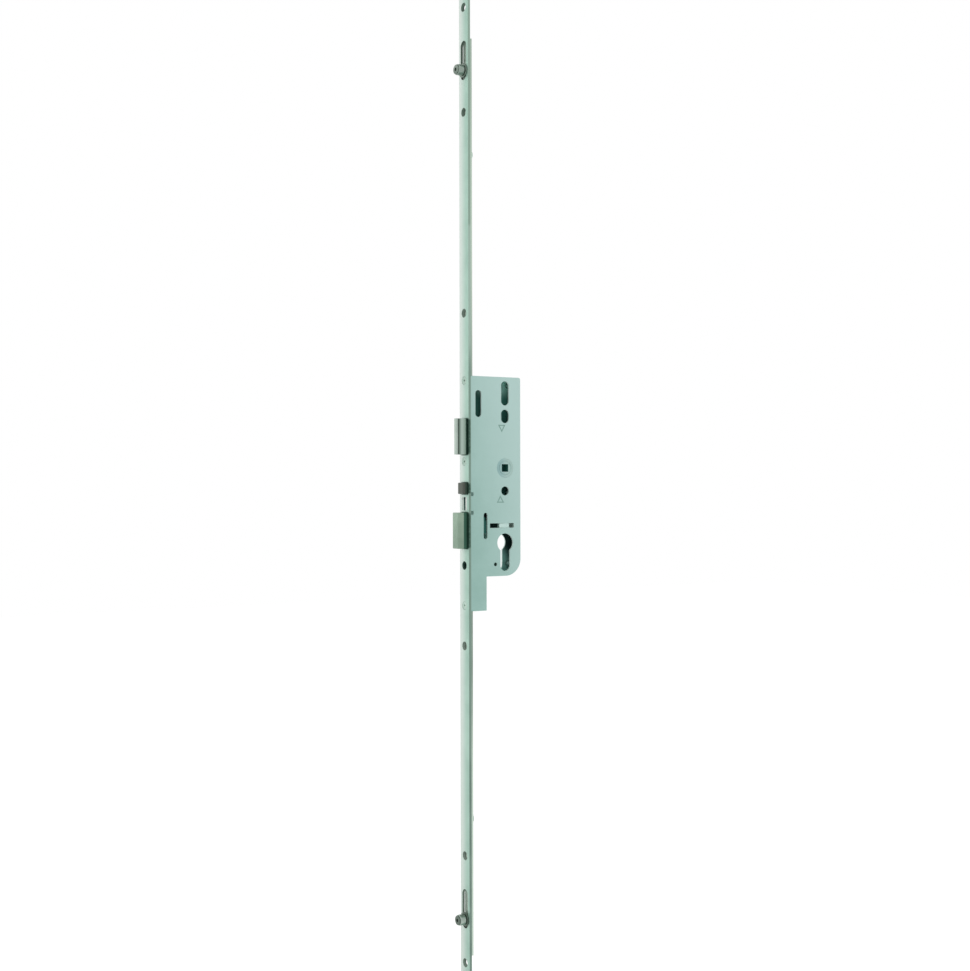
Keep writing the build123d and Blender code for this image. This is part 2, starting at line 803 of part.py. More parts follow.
def latch_rivet_place():
    """Depth, ends and height of the rivet through latch and tail."""
    return latch_depth - latch_tail_inlay / 2, (bolt_near_y, bolt_far_y), (tail_bottom + tail_top) / 2


def make_latch_rivet():
    """The cross rivet that joins latch and tail."""
    return pin_y(latch_rivet_diameter, *latch_rivet_place())


def make_latch_tail():
    """The plate behind the latch, with a hook that the follower's nose draws."""
    end = hook_x + latch_hook_thickness
    bar = panel((latch_depth - latch_tail_inlay + shaft_fit, end), (tail_bottom, tail_top))
    hook = panel((hook_x, end), (hook_bottom, tail_top))
    depth, ends, height = latch_rivet_place()
    outline = bar + hook - Pos(depth, height) * Circle(latch_rivet_diameter / 2 + shaft_fit)
    return side_sheet(outline, (arm_near_y, arm_far_y))


def make_latch_bracket():
    """The upright bracket that guides the tail and backs the latch spring."""
    rear = bracket_x + latch_bracket_thickness
    bottom = tail_bottom + latch_tail_gap
    bracket = block((bracket_x, rear), (-inner_half, inner_half), (bottom, latch_bracket_top))
    bracket -= block(
        (bracket_x - overrun, rear + overrun),
        (arm_near_y - running, arm_far_y + running),
        (bottom - overrun, tail_top + running),
    )
    spigot = latch_spring_diameter - 2 * latch_spring_wire - 2 * spring_fit
    return bracket + pin_x(spigot, (bracket_x - spigot_length, bracket_x), bolt_mid_y, latch_spring_height)


def make_latch_spring():
    """The spring that pushes the latch out."""
    start = (latch_depth + seat_fit, bolt_mid_y, latch_spring_height)
    length = bracket_x - latch_depth - 2 * seat_fit
    return coil(start, (1, 0, 0), length, latch_spring_wire, latch_spring_diameter, latch_spring_turns)


def tail_rivet_place():
    """Depth, ends and height of the rivet through the deadbolt and its tail."""
    middle = (deadbolt_tail_top + deadbolt_tail_bottom) / 2
    return deadbolt_depth - tail_inlay / 2, (bolt_near_y, bolt_far_y), middle


def make_deadbolt_head():
    """The square deadbolt, with a bed for its tail on the cover side."""
    head = block(
        (-deadbolt_projection, deadbolt_depth), (bolt_near_y, bolt_far_y), (deadbolt_bottom, deadbolt_top)
    )
    front = head.faces().sort_by(Axis.X)[0]
    head = chamfer(front.edges(), deadbolt_chamfer)
    head -= block(
        (deadbolt_depth - tail_inlay, deadbolt_depth + overrun),
        (bolt_near_y - overrun, tail_far_y + shaft_fit),
        (deadbolt_tail_bottom - shaft_fit, deadbolt_tail_top + shaft_fit),
    )
    return head - pin_y(tail_rivet_diameter + 2 * shaft_fit, *tail_rivet_place())


def make_deadbolt_rivet():
    """The rivet that joins the deadbolt and its tail."""
    return pin_y(tail_rivet_diameter, *tail_rivet_place())


def make_deadbolt_tail():
    """The tail plate: tumbler notches on top, a talon notch below and a window."""
    start = deadbolt_depth - tail_inlay + shaft_fit
    outline = panel((start, deadbolt_tail_end), (deadbolt_tail_bottom, deadbolt_tail_top))
    notch = tail_notch_width / 2
    for turn in (-1, 0, 1):
        x = tumbler_x + turn * deadbolt_turn
        outline -= panel(
            (x - notch, x + notch), (deadbolt_tail_top - tail_notch_depth, deadbolt_tail_top + overrun)
        )
    talon = (deadbolt_tail_bottom - overrun, deadbolt_tail_bottom + talon_depth)
    outline -= panel((guide_lug_x - notch, guide_lug_x + notch), talon)
    window_half = tail_window_height / 2
    outline -= panel(
        (tail_window_start, guide_lug_x - guide_lug_length / 2 - seat_fit),
        (lug_height - window_half, lug_height + window_half),
    )
    tenon = guide_lug_tenon / 2 + shaft_fit
    outline -= panel((guide_lug_x - tenon, guide_lug_x + tenon), (lug_height - tenon, lug_height + tenon))
    x, ends, z = tail_rivet_place()
    outline -= Pos(x, z) * Circle(tail_rivet_diameter / 2 + shaft_fit)
    return side_sheet(outline, (bolt_near_y, tail_far_y))


def make_deadbolt_guide_lug():
    """The lug that runs in the level slot of the cover and keeps the tail straight."""
    half = guide_lug_length / 2
    lug = block(
        (guide_lug_x - half, guide_lug_x + half),
        (hub_inset - case_half, bolt_near_y),
        (lug_height - guide_lug_height / 2, lug_height + guide_lug_height / 2),
    )
    tenon = guide_lug_tenon / 2
    return lug + block(
        (guide_lug_x - tenon, guide_lug_x + tenon),
        (bolt_near_y, tail_far_y),
        (lug_height - tenon, lug_height + tenon),
    )


def make_tumbler():
    """The sprung plate whose tooth holds the deadbolt between turns."""
    bar_bottom = tumbler_bottom + tumbler_tooth_height
    ear_front_x = tumbler_rear_x - tumbler_ear_length
    bar = panel((tumbler_front_x, tumbler_rear_x), (bar_bottom, tumbler_bottom + tumbler_height))
    ear = panel((ear_front_x, tumbler_rear_x), (bar_bottom, tumbler_bottom + tumbler_ear_height))
    tooth_half = tumbler_tooth_length / 2
    tooth = panel((tumbler_x - tooth_half, tumbler_x + tooth_half), (tumbler_bottom, bar_bottom))
    slot_bottom = tumbler_post_height - tumbler_lift - tumbler_slot_width / 2
    slot = upright_slot(tumbler_post_x, (slot_bottom, tumbler_slot_top), tumbler_slot_width)
    return side_sheet(bar + ear + tooth - slot, (bolt_near_y, bolt_near_y + tumbler_thickness))


def make_tumbler_spring():
    """The small spring over the tumbler, with the bar that backs it."""
    y = bolt_near_y + tumbler_spring_diameter / 2
    spring = coil(
        (tumbler_x, y, tumbler_spring_bottom), (0, 0, 1), tumbler_spring_length,
        tumbler_spring_wire, tumbler_spring_diameter, tumbler_spring_turns,
    )
    half = tumbler_seat_length / 2
    seat_z = (tumbler_spring_top + seat_fit, tumbler_spring_top + seat_fit + tumbler_seat_height)
    seat = block((tumbler_x - half, tumbler_x + half), (-inner_half, bolt_far_y), seat_z)
    return spring, seat


def make_guard_trigger():
    """The rounded plunger between latch and deadbolt."""
    body = block(
        (-trigger_projection, trigger_depth), (bolt_near_y, bolt_far_y), (trigger_bottom, trigger_top)
    )
    front = body.faces().sort_by(Axis.X)[0]
    body = fillet(front.edges(), trigger_round)
    spigot = trigger_spring_diameter - 2 * trigger_spring_wire - 2 * spring_fit
    body += pin_x(spigot, (trigger_depth, trigger_depth + spigot_length), bolt_mid_y, trigger_height)
    hole = guard_stem_diameter + 2 * shaft_fit
    hole_top = trigger_bottom + guard_stem_length + seat_fit
    return body - pin_z(hole, guard_stem_x(), bolt_mid_y, (trigger_bottom, hole_top))


def guard_stem_x():
    """Depth of the stem that joins the foot to the trigger."""
    return back_x + guard_foot_gap + guard_foot_thickness + guard_stem_diameter / 2


def make_guard_foot():
    """The bent plate under the trigger that shows in the opening below it."""
    front = back_x + guard_foot_gap
    sides = (bolt_near_y + guard_foot_margin, bolt_far_y - guard_foot_margin / 2)
    end = trigger_bottom
    upright = block((front, front + guard_foot_thickness), sides, (end - guard_foot_drop, end))
    flange = block((front, front + guard_flange_depth), sides, (end - guard_foot_thickness, end))
    stem = pin_z(guard_stem_diameter, guard_stem_x(), bolt_mid_y, (end, end + guard_stem_length))
    return upright + flange + stem


def make_trigger_spring():
    """The spring behind the trigger and the angle that backs it."""
    start = (trigger_depth + seat_fit, bolt_mid_y, trigger_height)
    length = trigger_seat_x - trigger_depth - 2 * seat_fit
    spring = coil(
        start, (1, 0, 0), length, trigger_spring_wire, trigger_spring_diameter, trigger_spring_turns
    )
    rear = trigger_seat_x + trigger_seat_thickness
    half = trigger_length / 2
    z = (trigger_height - half, trigger_height + half)
    seat = block((trigger_seat_x, rear), (-inner_half, bolt_far_y), z)
    seat += block((rear, rear + trigger_seat_flange), (-inner_half, trigger_seat_thickness - inner_half), z)
    return spring, seat


def build_nodes():
    """Every piece of the lock by name; a list holds identical pieces of one node."""
    follower_spring, follower_spring_seat = make_follower_spring()
    tumbler_spring, tumbler_spring_seat = make_tumbler_spring()
    trigger_spring, trigger_spring_seat = make_trigger_spring()
    return {
        "faceplate": make_faceplate(),
        "lock_case": make_lock_case(),
        "case_rim": make_case_rim(),
        "case_cover": make_case_cover(),
        "case_posts": make_case_posts(),
        "case_screws": make_case_screws(),
        "screw_blocks": make_screw_blocks(),
        "upper_rod": make_upper_rod(),
        "lower_rod": make_lower_rod(),
        "rod_studs": make_rod_studs(),
        "upper_rod_guide": make_upper_rod_guide(),
        "upper_roller_stud": make_roller_stud(upper_roller_height),
        "lower_roller_stud": make_roller_stud(lower_roller_height),
        "upper_roller": make_roller(upper_roller_height),
        "lower_roller": make_roller(lower_roller_height),
        "drive_slide": make_drive_slide(),
        "drive_sector": make_drive_sector(),
        "follower_hub": make_follower_hub(),
        "follower_spring": follower_spring,
        "follower_spring_seat": follower_spring_seat,
        "latch_bolt": make_latch_bolt(),
        "latch_tail": make_latch_tail(),
        "latch_rivet": make_latch_rivet(),
        "latch_bracket": make_latch_bracket(),
        "latch_spring": make_latch_spring(),
        "deadbolt_head": make_deadbolt_head(),
        "deadbolt_tail": make_deadbolt_tail(),
        "deadbolt_rivet": make_deadbolt_rivet(),
        "deadbolt_guide_lug": make_deadbolt_guide_lug(),
        "tumbler": make_tumbler(),
        "tumbler_post": make_tumbler_post(),
        "tumbler_spring": tumbler_spring,
        "tumbler_spring_seat": tumbler_spring_seat,
        "guard_trigger": make_guard_trigger(),
        "guard_foot": make_guard_foot(),
        "trigger_spring": trigger_spring,
        "trigger_spring_seat": trigger_spring_seat,
    }


def write_parts():
    """Write each node to its own STEP file."""
    os.makedirs("parts", exist_ok=True)
    for name, piece in build_nodes().items():
        solids = []
        for item in piece if isinstance(piece, list) else [piece]:
            solids += item.solids()
        shape = solids[0] if len(solids) == 1 else Compound(solids)
        export_step(shape, f"parts/{name}.step")


write_parts()
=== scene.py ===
"""Looks of a multipoint door lock: its finishes, dressed pieces, a plain studio and a camera.

Lengths are metres in the lock's own frame. +X runs into the door, +Y across it and away from
the case cover, +Z up. The origin lies on the faceplate's front, level with the spindle.
"""

import logging
from dataclasses import dataclass
from enum import Enum
from math import atan2, cos, hypot, pi, radians, sin, tan
from typing import Callable, Sequence

import bmesh
import bpy
from mathutils import Matrix, Quaternion, Vector
from mathutils.bvhtree import BVHTree

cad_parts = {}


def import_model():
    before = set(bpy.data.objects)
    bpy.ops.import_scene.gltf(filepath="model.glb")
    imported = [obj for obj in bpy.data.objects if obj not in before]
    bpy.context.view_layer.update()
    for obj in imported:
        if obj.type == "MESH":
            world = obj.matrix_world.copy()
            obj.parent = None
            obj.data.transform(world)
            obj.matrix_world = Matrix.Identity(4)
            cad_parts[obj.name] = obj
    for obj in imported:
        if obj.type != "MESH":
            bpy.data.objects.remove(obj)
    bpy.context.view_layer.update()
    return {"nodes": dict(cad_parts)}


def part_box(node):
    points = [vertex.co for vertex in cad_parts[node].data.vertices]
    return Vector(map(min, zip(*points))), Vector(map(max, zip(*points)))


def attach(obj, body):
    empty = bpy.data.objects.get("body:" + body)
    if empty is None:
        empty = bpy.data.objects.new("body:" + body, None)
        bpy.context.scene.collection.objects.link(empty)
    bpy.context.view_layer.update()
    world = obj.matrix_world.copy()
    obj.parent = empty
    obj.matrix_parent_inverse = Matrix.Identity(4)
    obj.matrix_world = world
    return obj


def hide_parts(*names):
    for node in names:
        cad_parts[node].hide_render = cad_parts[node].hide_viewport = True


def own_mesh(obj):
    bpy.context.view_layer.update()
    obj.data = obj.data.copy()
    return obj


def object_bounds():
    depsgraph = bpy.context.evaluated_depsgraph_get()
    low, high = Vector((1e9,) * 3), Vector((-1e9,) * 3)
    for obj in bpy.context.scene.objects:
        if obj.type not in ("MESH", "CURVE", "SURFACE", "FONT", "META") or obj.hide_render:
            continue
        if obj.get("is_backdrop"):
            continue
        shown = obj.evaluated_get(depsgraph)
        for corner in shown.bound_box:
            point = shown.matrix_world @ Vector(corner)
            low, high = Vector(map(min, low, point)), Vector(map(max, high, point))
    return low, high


log = logging.getLogger("door_lock")

MM = 0.001
MERGE_DISTANCE = 0.002 * MM
FLAT_TURN = radians(0.6)
SHARP_TURN = radians(50)
BREAK_TURN = radians(32)
ROUND_PROFILE = 0.5
ARC_STEPS = 3
BACKSET = 40 * MM

# A face looks along an axis when its normal's share along it is above this
LOOKING = 0.5

# The curve between a screen's colour levels and linear light
TOP_LEVEL = 255
CURVE_FOOT = 0.04045
FOOT_SLOPE = 12.92
CURVE_LIFT = 0.055
CURVE_POWER = 2.4

Colour = tuple[float, float, float]
Triple = tuple[float, float, float]
FacePick = Callable[[bmesh.types.BMFace], "Finish"]
EdgePick = Callable[[bmesh.types.BMEdge], bool]
Box = tuple[Vector, Vector]

# Ways that a colour can fade
INWARD: Triple = (1.0, 0.0, 0.0)
OUTWARD: Triple = (-1.0, 0.0, 0.0)
ACROSS: Triple = (0.0, 1.0, 0.0)
UP: Triple = (0.0, 0.0, 1.0)
DOWN: Triple = (0.0, 0.0, -1.0)
SLANTED: Triple = (0.7, 0.0, 0.7)
REARWARD: Triple = (1.0, 0.0, 0.25)

# Turns what is made level, facing up, so that it faces the near side
FACE_NEAR = Vector((0, 0, 1)).rotation_difference(Vector((0, -1, 0))).to_matrix()


def seen(red: int, green: int, blue: int) -> Colour:
    """Turn a colour as the eye sees it into the linear values that a shader takes.

    Args:
        red: red share, 0 to 255.
        green: green share, 0 to 255.
        blue: blue share, 0 to 255.

    Returns:
        The three linear values.
    """
    shares = (red / TOP_LEVEL, green / TOP_LEVEL, blue / TOP_LEVEL)
    return tuple(
        s / FOOT_SLOPE if s <= CURVE_FOOT else ((s + CURVE_LIFT) / (1 + CURVE_LIFT)) ** CURVE_POWER
        for s in shares
    )


class Grain(Enum):
    """Which way a metal's grain runs, as how far a pattern is stretched along X, Y and Z."""

    ALONG_STRIP = (9.0, 9.0, 0.14)
    ALONG_BOLT = (0.3, 7.0, 7.0)
    ACROSS_SHEET = (0.8, 3.0, 3.0)
    EVEN = (2.0, 2.0, 2.0)


class Shared(Enum):
    """Effects that several materials use, each one shader node group."""

    GRAIN = "metal_grain"
    CLOUD = "plating_cloud"
    # painted shade in the corner where a bolt's side meets the strip's front
    ROOT = "painted_root_shade"
    # painted shade round the bolts' windows on the strip
    WINDOW_SHADE = "painted_window_shade"
    FADE = "slow_fade"


class Tree:
    """A node tree with short calls to add and join its nodes."""

    def __init__(self, tree: bpy.types.NodeTree) -> None:
        """Keep the tree that the calls work on."""
        self.tree = tree

    def add(self, kind: str, **settings: object) -> bpy.types.Node:
        """Add a node.

        Args:
            kind: the node's type name.
            settings: values for the node's own properties.

        Returns:
            The new node.
        """
        node = self.tree.nodes.new(kind)
        for name, value in settings.items():
            setattr(node, name, value)
        return node

    def join(self, source: bpy.types.NodeSocket, target: bpy.types.NodeSocket) -> None:
        """Link one socket to another."""
        self.tree.links.new(source, target)

    def feed(self, value: object, target: bpy.types.NodeSocket) -> None:
        """Put a socket or a plain value into a node's input.

        Args:
            value: a socket or a plain value.
            target: the input.
        """
        if isinstance(value, bpy.types.NodeSocket):
            self.join(value, target)
        else:
            target.default_value = value

    def sum(self, operation: str, first: object, second: object) -> bpy.types.NodeSocket:
        """Work out one step of arithmetic.

        Args:
            operation: the Math node's operation.
            first: a socket or a number.
            second: a socket or a number.

        Returns:
            The socket with the result.
        """
        node = self.add("ShaderNodeMath", operation=operation)
        self.feed(first, node.inputs[0])
        self.feed(second, node.inputs[1])
        return node.outputs[0]

    def vector(self, operation: str, *vectors: bpy.types.NodeSocket) -> bpy.types.Node:
        """Work out one step of vector arithmetic.

        Args:
            operation: the Vector Math node's operation.
            vectors: one or two sockets.

        Returns:
            The node, with its result in Vector or in Value.
        """
        node = self.add("ShaderNodeVectorMath", operation=operation)
        for vector, socket in zip(vectors, node.inputs):
            self.join(vector, socket)
        return node

    def noise(self, vector: bpy.types.NodeSocket, scale: object, detail: float) -> bpy.types.NodeSocket:
        """Add a noise pattern.

        Args:
            vector: where the pattern is read.
            scale: a socket or a number, in patches per metre.
            detail: how many finer layers it has.

        Returns:
            The socket with a value around one half.
        """
        node = self.add("ShaderNodeTexNoise")
        node.inputs["Detail"].default_value = detail
        self.join(vector, node.inputs["Vector"])
        self.feed(scale, node.inputs["Scale"])
        return node.outputs["Fac"]

    def rise(self, value: bpy.types.NodeSocket, start: object, end: object) -> bpy.types.NodeSocket:
        """Rise smoothly from zero to one.

        Args:
            value: what the rise follows.
            start: a socket or a number, where it leaves zero.
            end: a socket or a number, where it comes to one.

        Returns:
            The socket with the share.
        """
        node = self.add("ShaderNodeMapRange", interpolation_type="SMOOTHSTEP")
        self.join(value, node.inputs["Value"])
        self.feed(start, node.inputs["From Min"])
        self.feed(end, node.inputs["From Max"])
        return node.outputs["Result"]

    def blend(self, share: bpy.types.NodeSocket, first: object, second: object) -> bpy.types.NodeSocket:
        """Mix two colours.

        Args:
            share: how much of the second colour shows.
            first: a socket or a colour.
            second: a socket or a colour.

        Returns:
            The socket with the mixed colour.
        """
        node = self.add("ShaderNodeMix", data_type="RGBA")
        self.join(share, node.inputs["Factor"])
        for value, name in ((first, "A"), (second, "B")):
            target = next(s for s in node.inputs if s.name == name and s.type == "RGBA")
            self.feed(value if isinstance(value, bpy.types.NodeSocket) else (*value, 1.0), target)
        return next(s for s in node.outputs if s.type == "RGBA")


class EffectShelf:
    """The shared effects, each built once and placed in every material that asks for it."""

    MIDDLE = 0.5
    BROAD_SHARE = 0.6
    BROAD_DETAIL = 3.0
    FINE_SHARE = 0.4
    FINE_DETAIL = 5.0
    FINE_SCALE = 3.4
    PATCH_DETAIL = 4.0
    PATCH_SHARE = 0.8
    PATCH_START = 0.32
    PATCH_END = 0.68
    CRYSTAL_SCALE = 5.0
    CRYSTAL_SHARE = 0.3
    ROOT_SCALE = 900.0
    ROOT_DETAIL = 3.0
    SHADE_EDGE_SCALE = 700.0
    SHADE_EDGE_DETAIL = 2.0

    def __init__(self) -> None:
        """Build all the groups."""
        self.groups = {
            Shared.GRAIN: self._grain(),
            Shared.CLOUD: self._cloud(),
            Shared.ROOT: self._root(),
            Shared.WINDOW_SHADE: self._window_shade(),
            Shared.FADE: self._fade(),
        }

    @staticmethod
    def _start(
        effect: Shared, vectors: Sequence[str], numbers: Sequence[str], outputs: Sequence[str]
    ) -> tuple[Tree, bpy.types.Node, bpy.types.Node]:
        """Make an empty group with its sockets.

        Args:
            effect: which effect the group holds.
            vectors: names of the inputs that are vectors.
            numbers: names of the inputs that are numbers.
            outputs: names of the outputs, all numbers.

        Returns:
            The tree, its input node and its output node.
        """
        group = bpy.data.node_groups.new(effect.value, "ShaderNodeTree")
        sockets = [(name, "INPUT", "NodeSocketVector") for name in vectors]
        sockets += [(name, "INPUT", "NodeSocketFloat") for name in numbers]
        sockets += [(name, "OUTPUT", "NodeSocketFloat") for name in outputs]
        for name, side, kind in sockets:
            group.interface.new_socket(name=name, in_out=side, socket_type=kind)
        tree = Tree(group)
        return tree, tree.add("NodeGroupInput"), tree.add("NodeGroupOutput")

    def _ragged(
        self,
        tree: Tree,
        depth: bpy.types.NodeSocket,
        vector: bpy.types.NodeSocket,
        scale: float,
        detail: float,
    ) -> bpy.types.NodeSocket:
        """Make a distance ragged by half a millimetre either way.

        Args:
            tree: the group's tree.
            depth: the distance.
            vector: where the noise is read.
            scale: the noise's scale, in patches per metre.
            detail: how many finer layers the noise has.

        Returns:
            The socket with the ragged distance.
        """
        swing = tree.sum("SUBTRACT", tree.noise(vector, scale, detail), self.MIDDLE)
        return tree.sum("ADD", depth, tree.sum("MULTIPLY", swing, MM))

    def _grain(self) -> bpy.types.NodeTree:
        """Streaks left by rolling or brushing, as a tone and a fine height."""
        tree, entry, leave = self._start(
            Shared.GRAIN, ("Vector", "Stretch"), ("Scale",), ("Streak", "Height")
        )
        stretched = tree.vector("MULTIPLY", entry.outputs["Vector"], entry.outputs["Stretch"])
        drawn = stretched.outputs["Vector"]
        broad = tree.noise(drawn, entry.outputs["Scale"], self.BROAD_DETAIL)
        fine_scale = tree.sum("MULTIPLY", entry.outputs["Scale"], self.FINE_SCALE)
        fine = tree.noise(drawn, fine_scale, self.FINE_DETAIL)
        broad_part = tree.sum("MULTIPLY", broad, self.BROAD_SHARE)
        fine_part = tree.sum("MULTIPLY", fine, self.FINE_SHARE)
        tree.join(tree.sum("ADD", broad_part, fine_part), leave.inputs["Streak"])
        tree.join(fine, leave.inputs["Height"])
        return tree.tree

    def _cloud(self) -> bpy.types.NodeTree:
        """The soft patches of a plated surface, with a trace of crystals in them."""
        tree, entry, leave = self._start(Shared.CLOUD, ("Vector",), ("Scale",), ("Tone",))
        patches = tree.noise(entry.outputs["Vector"], entry.outputs["Scale"], self.PATCH_DETAIL)
        crystals = tree.add("ShaderNodeTexVoronoi", feature="SMOOTH_F1")
        tree.join(entry.outputs["Vector"], crystals.inputs["Vector"])
        tree.join(
            tree.sum("MULTIPLY", entry.outputs["Scale"], self.CRYSTAL_SCALE), crystals.inputs["Scale"]
        )
        spread = tree.rise(patches, self.PATCH_START, self.PATCH_END)
        body = tree.sum("MULTIPLY", spread, self.PATCH_SHARE)
        trace = tree.sum("MULTIPLY", crystals.outputs["Distance"], self.CRYSTAL_SHARE)
        tree.join(tree.sum("ADD", body, trace), leave.inputs["Tone"])
        return tree.tree

    def _root(self) -> bpy.types.NodeTree:
        """A band of painted shade where a bolt enters the lock, gone again on what lies inside."""
        numbers = ("Clean", "Greased", "Wiped", "Inside")
        tree, entry, leave = self._start(Shared.ROOT, ("Vector",), numbers, ("Mask",))
        split = tree.add("ShaderNodeSeparateXYZ")
        tree.join(entry.outputs["Vector"], split.inputs[0])
        depth = self._ragged(
            tree, split.outputs["X"], entry.outputs["Vector"], self.ROOT_SCALE, self.ROOT_DETAIL
        )
        outer = tree.rise(depth, entry.outputs["Clean"], entry.outputs["Greased"])
        inner = tree.rise(depth, entry.outputs["Inside"], entry.outputs["Wiped"])
        tree.join(tree.sum("MULTIPLY", outer, inner), leave.inputs["Mask"])
        return tree.tree

    def _window_shade(self) -> bpy.types.NodeTree:
        """Painted shade round a window, which fades with the distance from it."""
        vectors = ("Vector", "Centre", "Half")
        tree, entry, leave = self._start(Shared.WINDOW_SHADE, vectors, ("Full", "Clean"), ("Mask",))
        offset = tree.vector("SUBTRACT", entry.outputs["Vector"], entry.outputs["Centre"])
        folded = tree.vector("ABSOLUTE", offset.outputs["Vector"])
        past = tree.vector("SUBTRACT", folded.outputs["Vector"], entry.outputs["Half"])
        outside = tree.vector("MAXIMUM", past.outputs["Vector"])
        gap = tree.vector("LENGTH", outside.outputs["Vector"]).outputs["Value"]
        ragged = self._ragged(tree, gap, entry.outputs["Vector"], self.SHADE_EDGE_SCALE, self.SHADE_EDGE_DETAIL)
        mask = tree.rise(ragged, entry.outputs["Clean"], entry.outputs["Full"])
        tree.join(mask, leave.inputs["Mask"])
        return tree.tree

    def _fade(self) -> bpy.types.NodeTree:
        """A slow change along one direction of the piece."""
        vectors = ("Vector", "Direction")
        tree, entry, leave = self._start(Shared.FADE, vectors, ("Start", "End"), ("Mask",))
        along = tree.vector("DOT_PRODUCT", entry.outputs["Vector"], entry.outputs["Direction"])
        mask = tree.rise(along.outputs["Value"], entry.outputs["Start"], entry.outputs["End"])
        tree.join(mask, leave.inputs["Mask"])
        return tree.tree

    def place(self, tree: Tree, effect: Shared, **inputs: object) -> bpy.types.Node:
        """Place a shared effect in a material, reading Object coordinates.

        Args:
            tree: the material's tree.
            effect: which effect to place.
            inputs: values for the group's own inputs.

        Returns:
            The group node.
        """
        node = tree.add("ShaderNodeGroup")
        node.node_tree = self.groups[effect]
        tree.join(tree.add("ShaderNodeTexCoord").outputs["Object"], node.inputs["Vector"])
        for name, value in inputs.items():
            node.inputs[name].default_value = value
        return node


@dataclass(frozen=True)
class GreasedRoot:
    """A bolt's band of painted shade: where it starts, is full, fades again and has gone, and its
    colour.
    """

    unshaded_x: float
    shaded_x: float
    colour: Colour
    shade_fading_x: float = 1.0 * MM
    inside_x: float = 4.0 * MM

    def mask(self, tree: Tree, shelf: EffectShelf) -> bpy.types.NodeSocket:
        """Work out where the painted shade lies.

        Args:
            tree: the material's tree.
            shelf: the shared effects.

        Returns:
            The socket with one in the painted shade and zero where there is none.
        """
        root_shade = shelf.place(
            tree, Shared.ROOT, Clean=self.unshaded_x, Greased=self.shaded_x, Wiped=self.shade_fading_x,
            Inside=self.inside_x,
        )
        return root_shade.outputs["Mask"]


@dataclass(frozen=True)
class SlowFade:
    """A second colour that a surface fades to: the direction, where it starts and where it is full."""

    direction: Triple
    start: float
    end: float
    colour: Colour

    def mask(self, tree: Tree, shelf: EffectShelf) -> bpy.types.NodeSocket:
        """Work out where the second colour shows.

        Args:
            tree: the material's tree.
            shelf: the shared effects.

        Returns:
            The socket with one in the second colour and zero before it starts.
        """
        slow = shelf.place(tree, Shared.FADE, Direction=self.direction, Start=self.start, End=self.end)
        return slow.outputs["Mask"]


@dataclass(frozen=True)
class WindowShade:
    """Painted shade round the bolts' windows.

    It is full up to one distance and gone at another, reaches less far above and below a window,
    and lies in a thin layer about the strip's front.
    """

    full: float
    unshaded: float
    above: float
    colour: Colour
    half_layer: float = 0.5 * MM

    def mask(self, tree: Tree, shelf: EffectShelf, windows: Sequence[Box]) -> bpy.types.NodeSocket:
        """Work out where the painted shade lies.

        Args:
            tree: the material's tree.
            shelf: the shared effects.
            windows: lowest and highest corner of what stands in each window.

        Returns:
            The socket with one in the painted shade and zero where there is none.
        """
        masks = []
        for low, high in windows:
            half = (high - low) / 2
            centre = (high + low) / 2
            spot = shelf.place(
                tree, Shared.WINDOW_SHADE, Centre=(0.0, centre.y, centre.z),
                Half=(self.half_layer, half.y, half.z - self.above), Full=self.full, Clean=self.unshaded,
            )
            masks.append(spot.outputs["Mask"])
        while len(masks) > 1:
            masks.append(tree.sum("MAXIMUM", masks.pop(), masks.pop()))
        return masks[0]


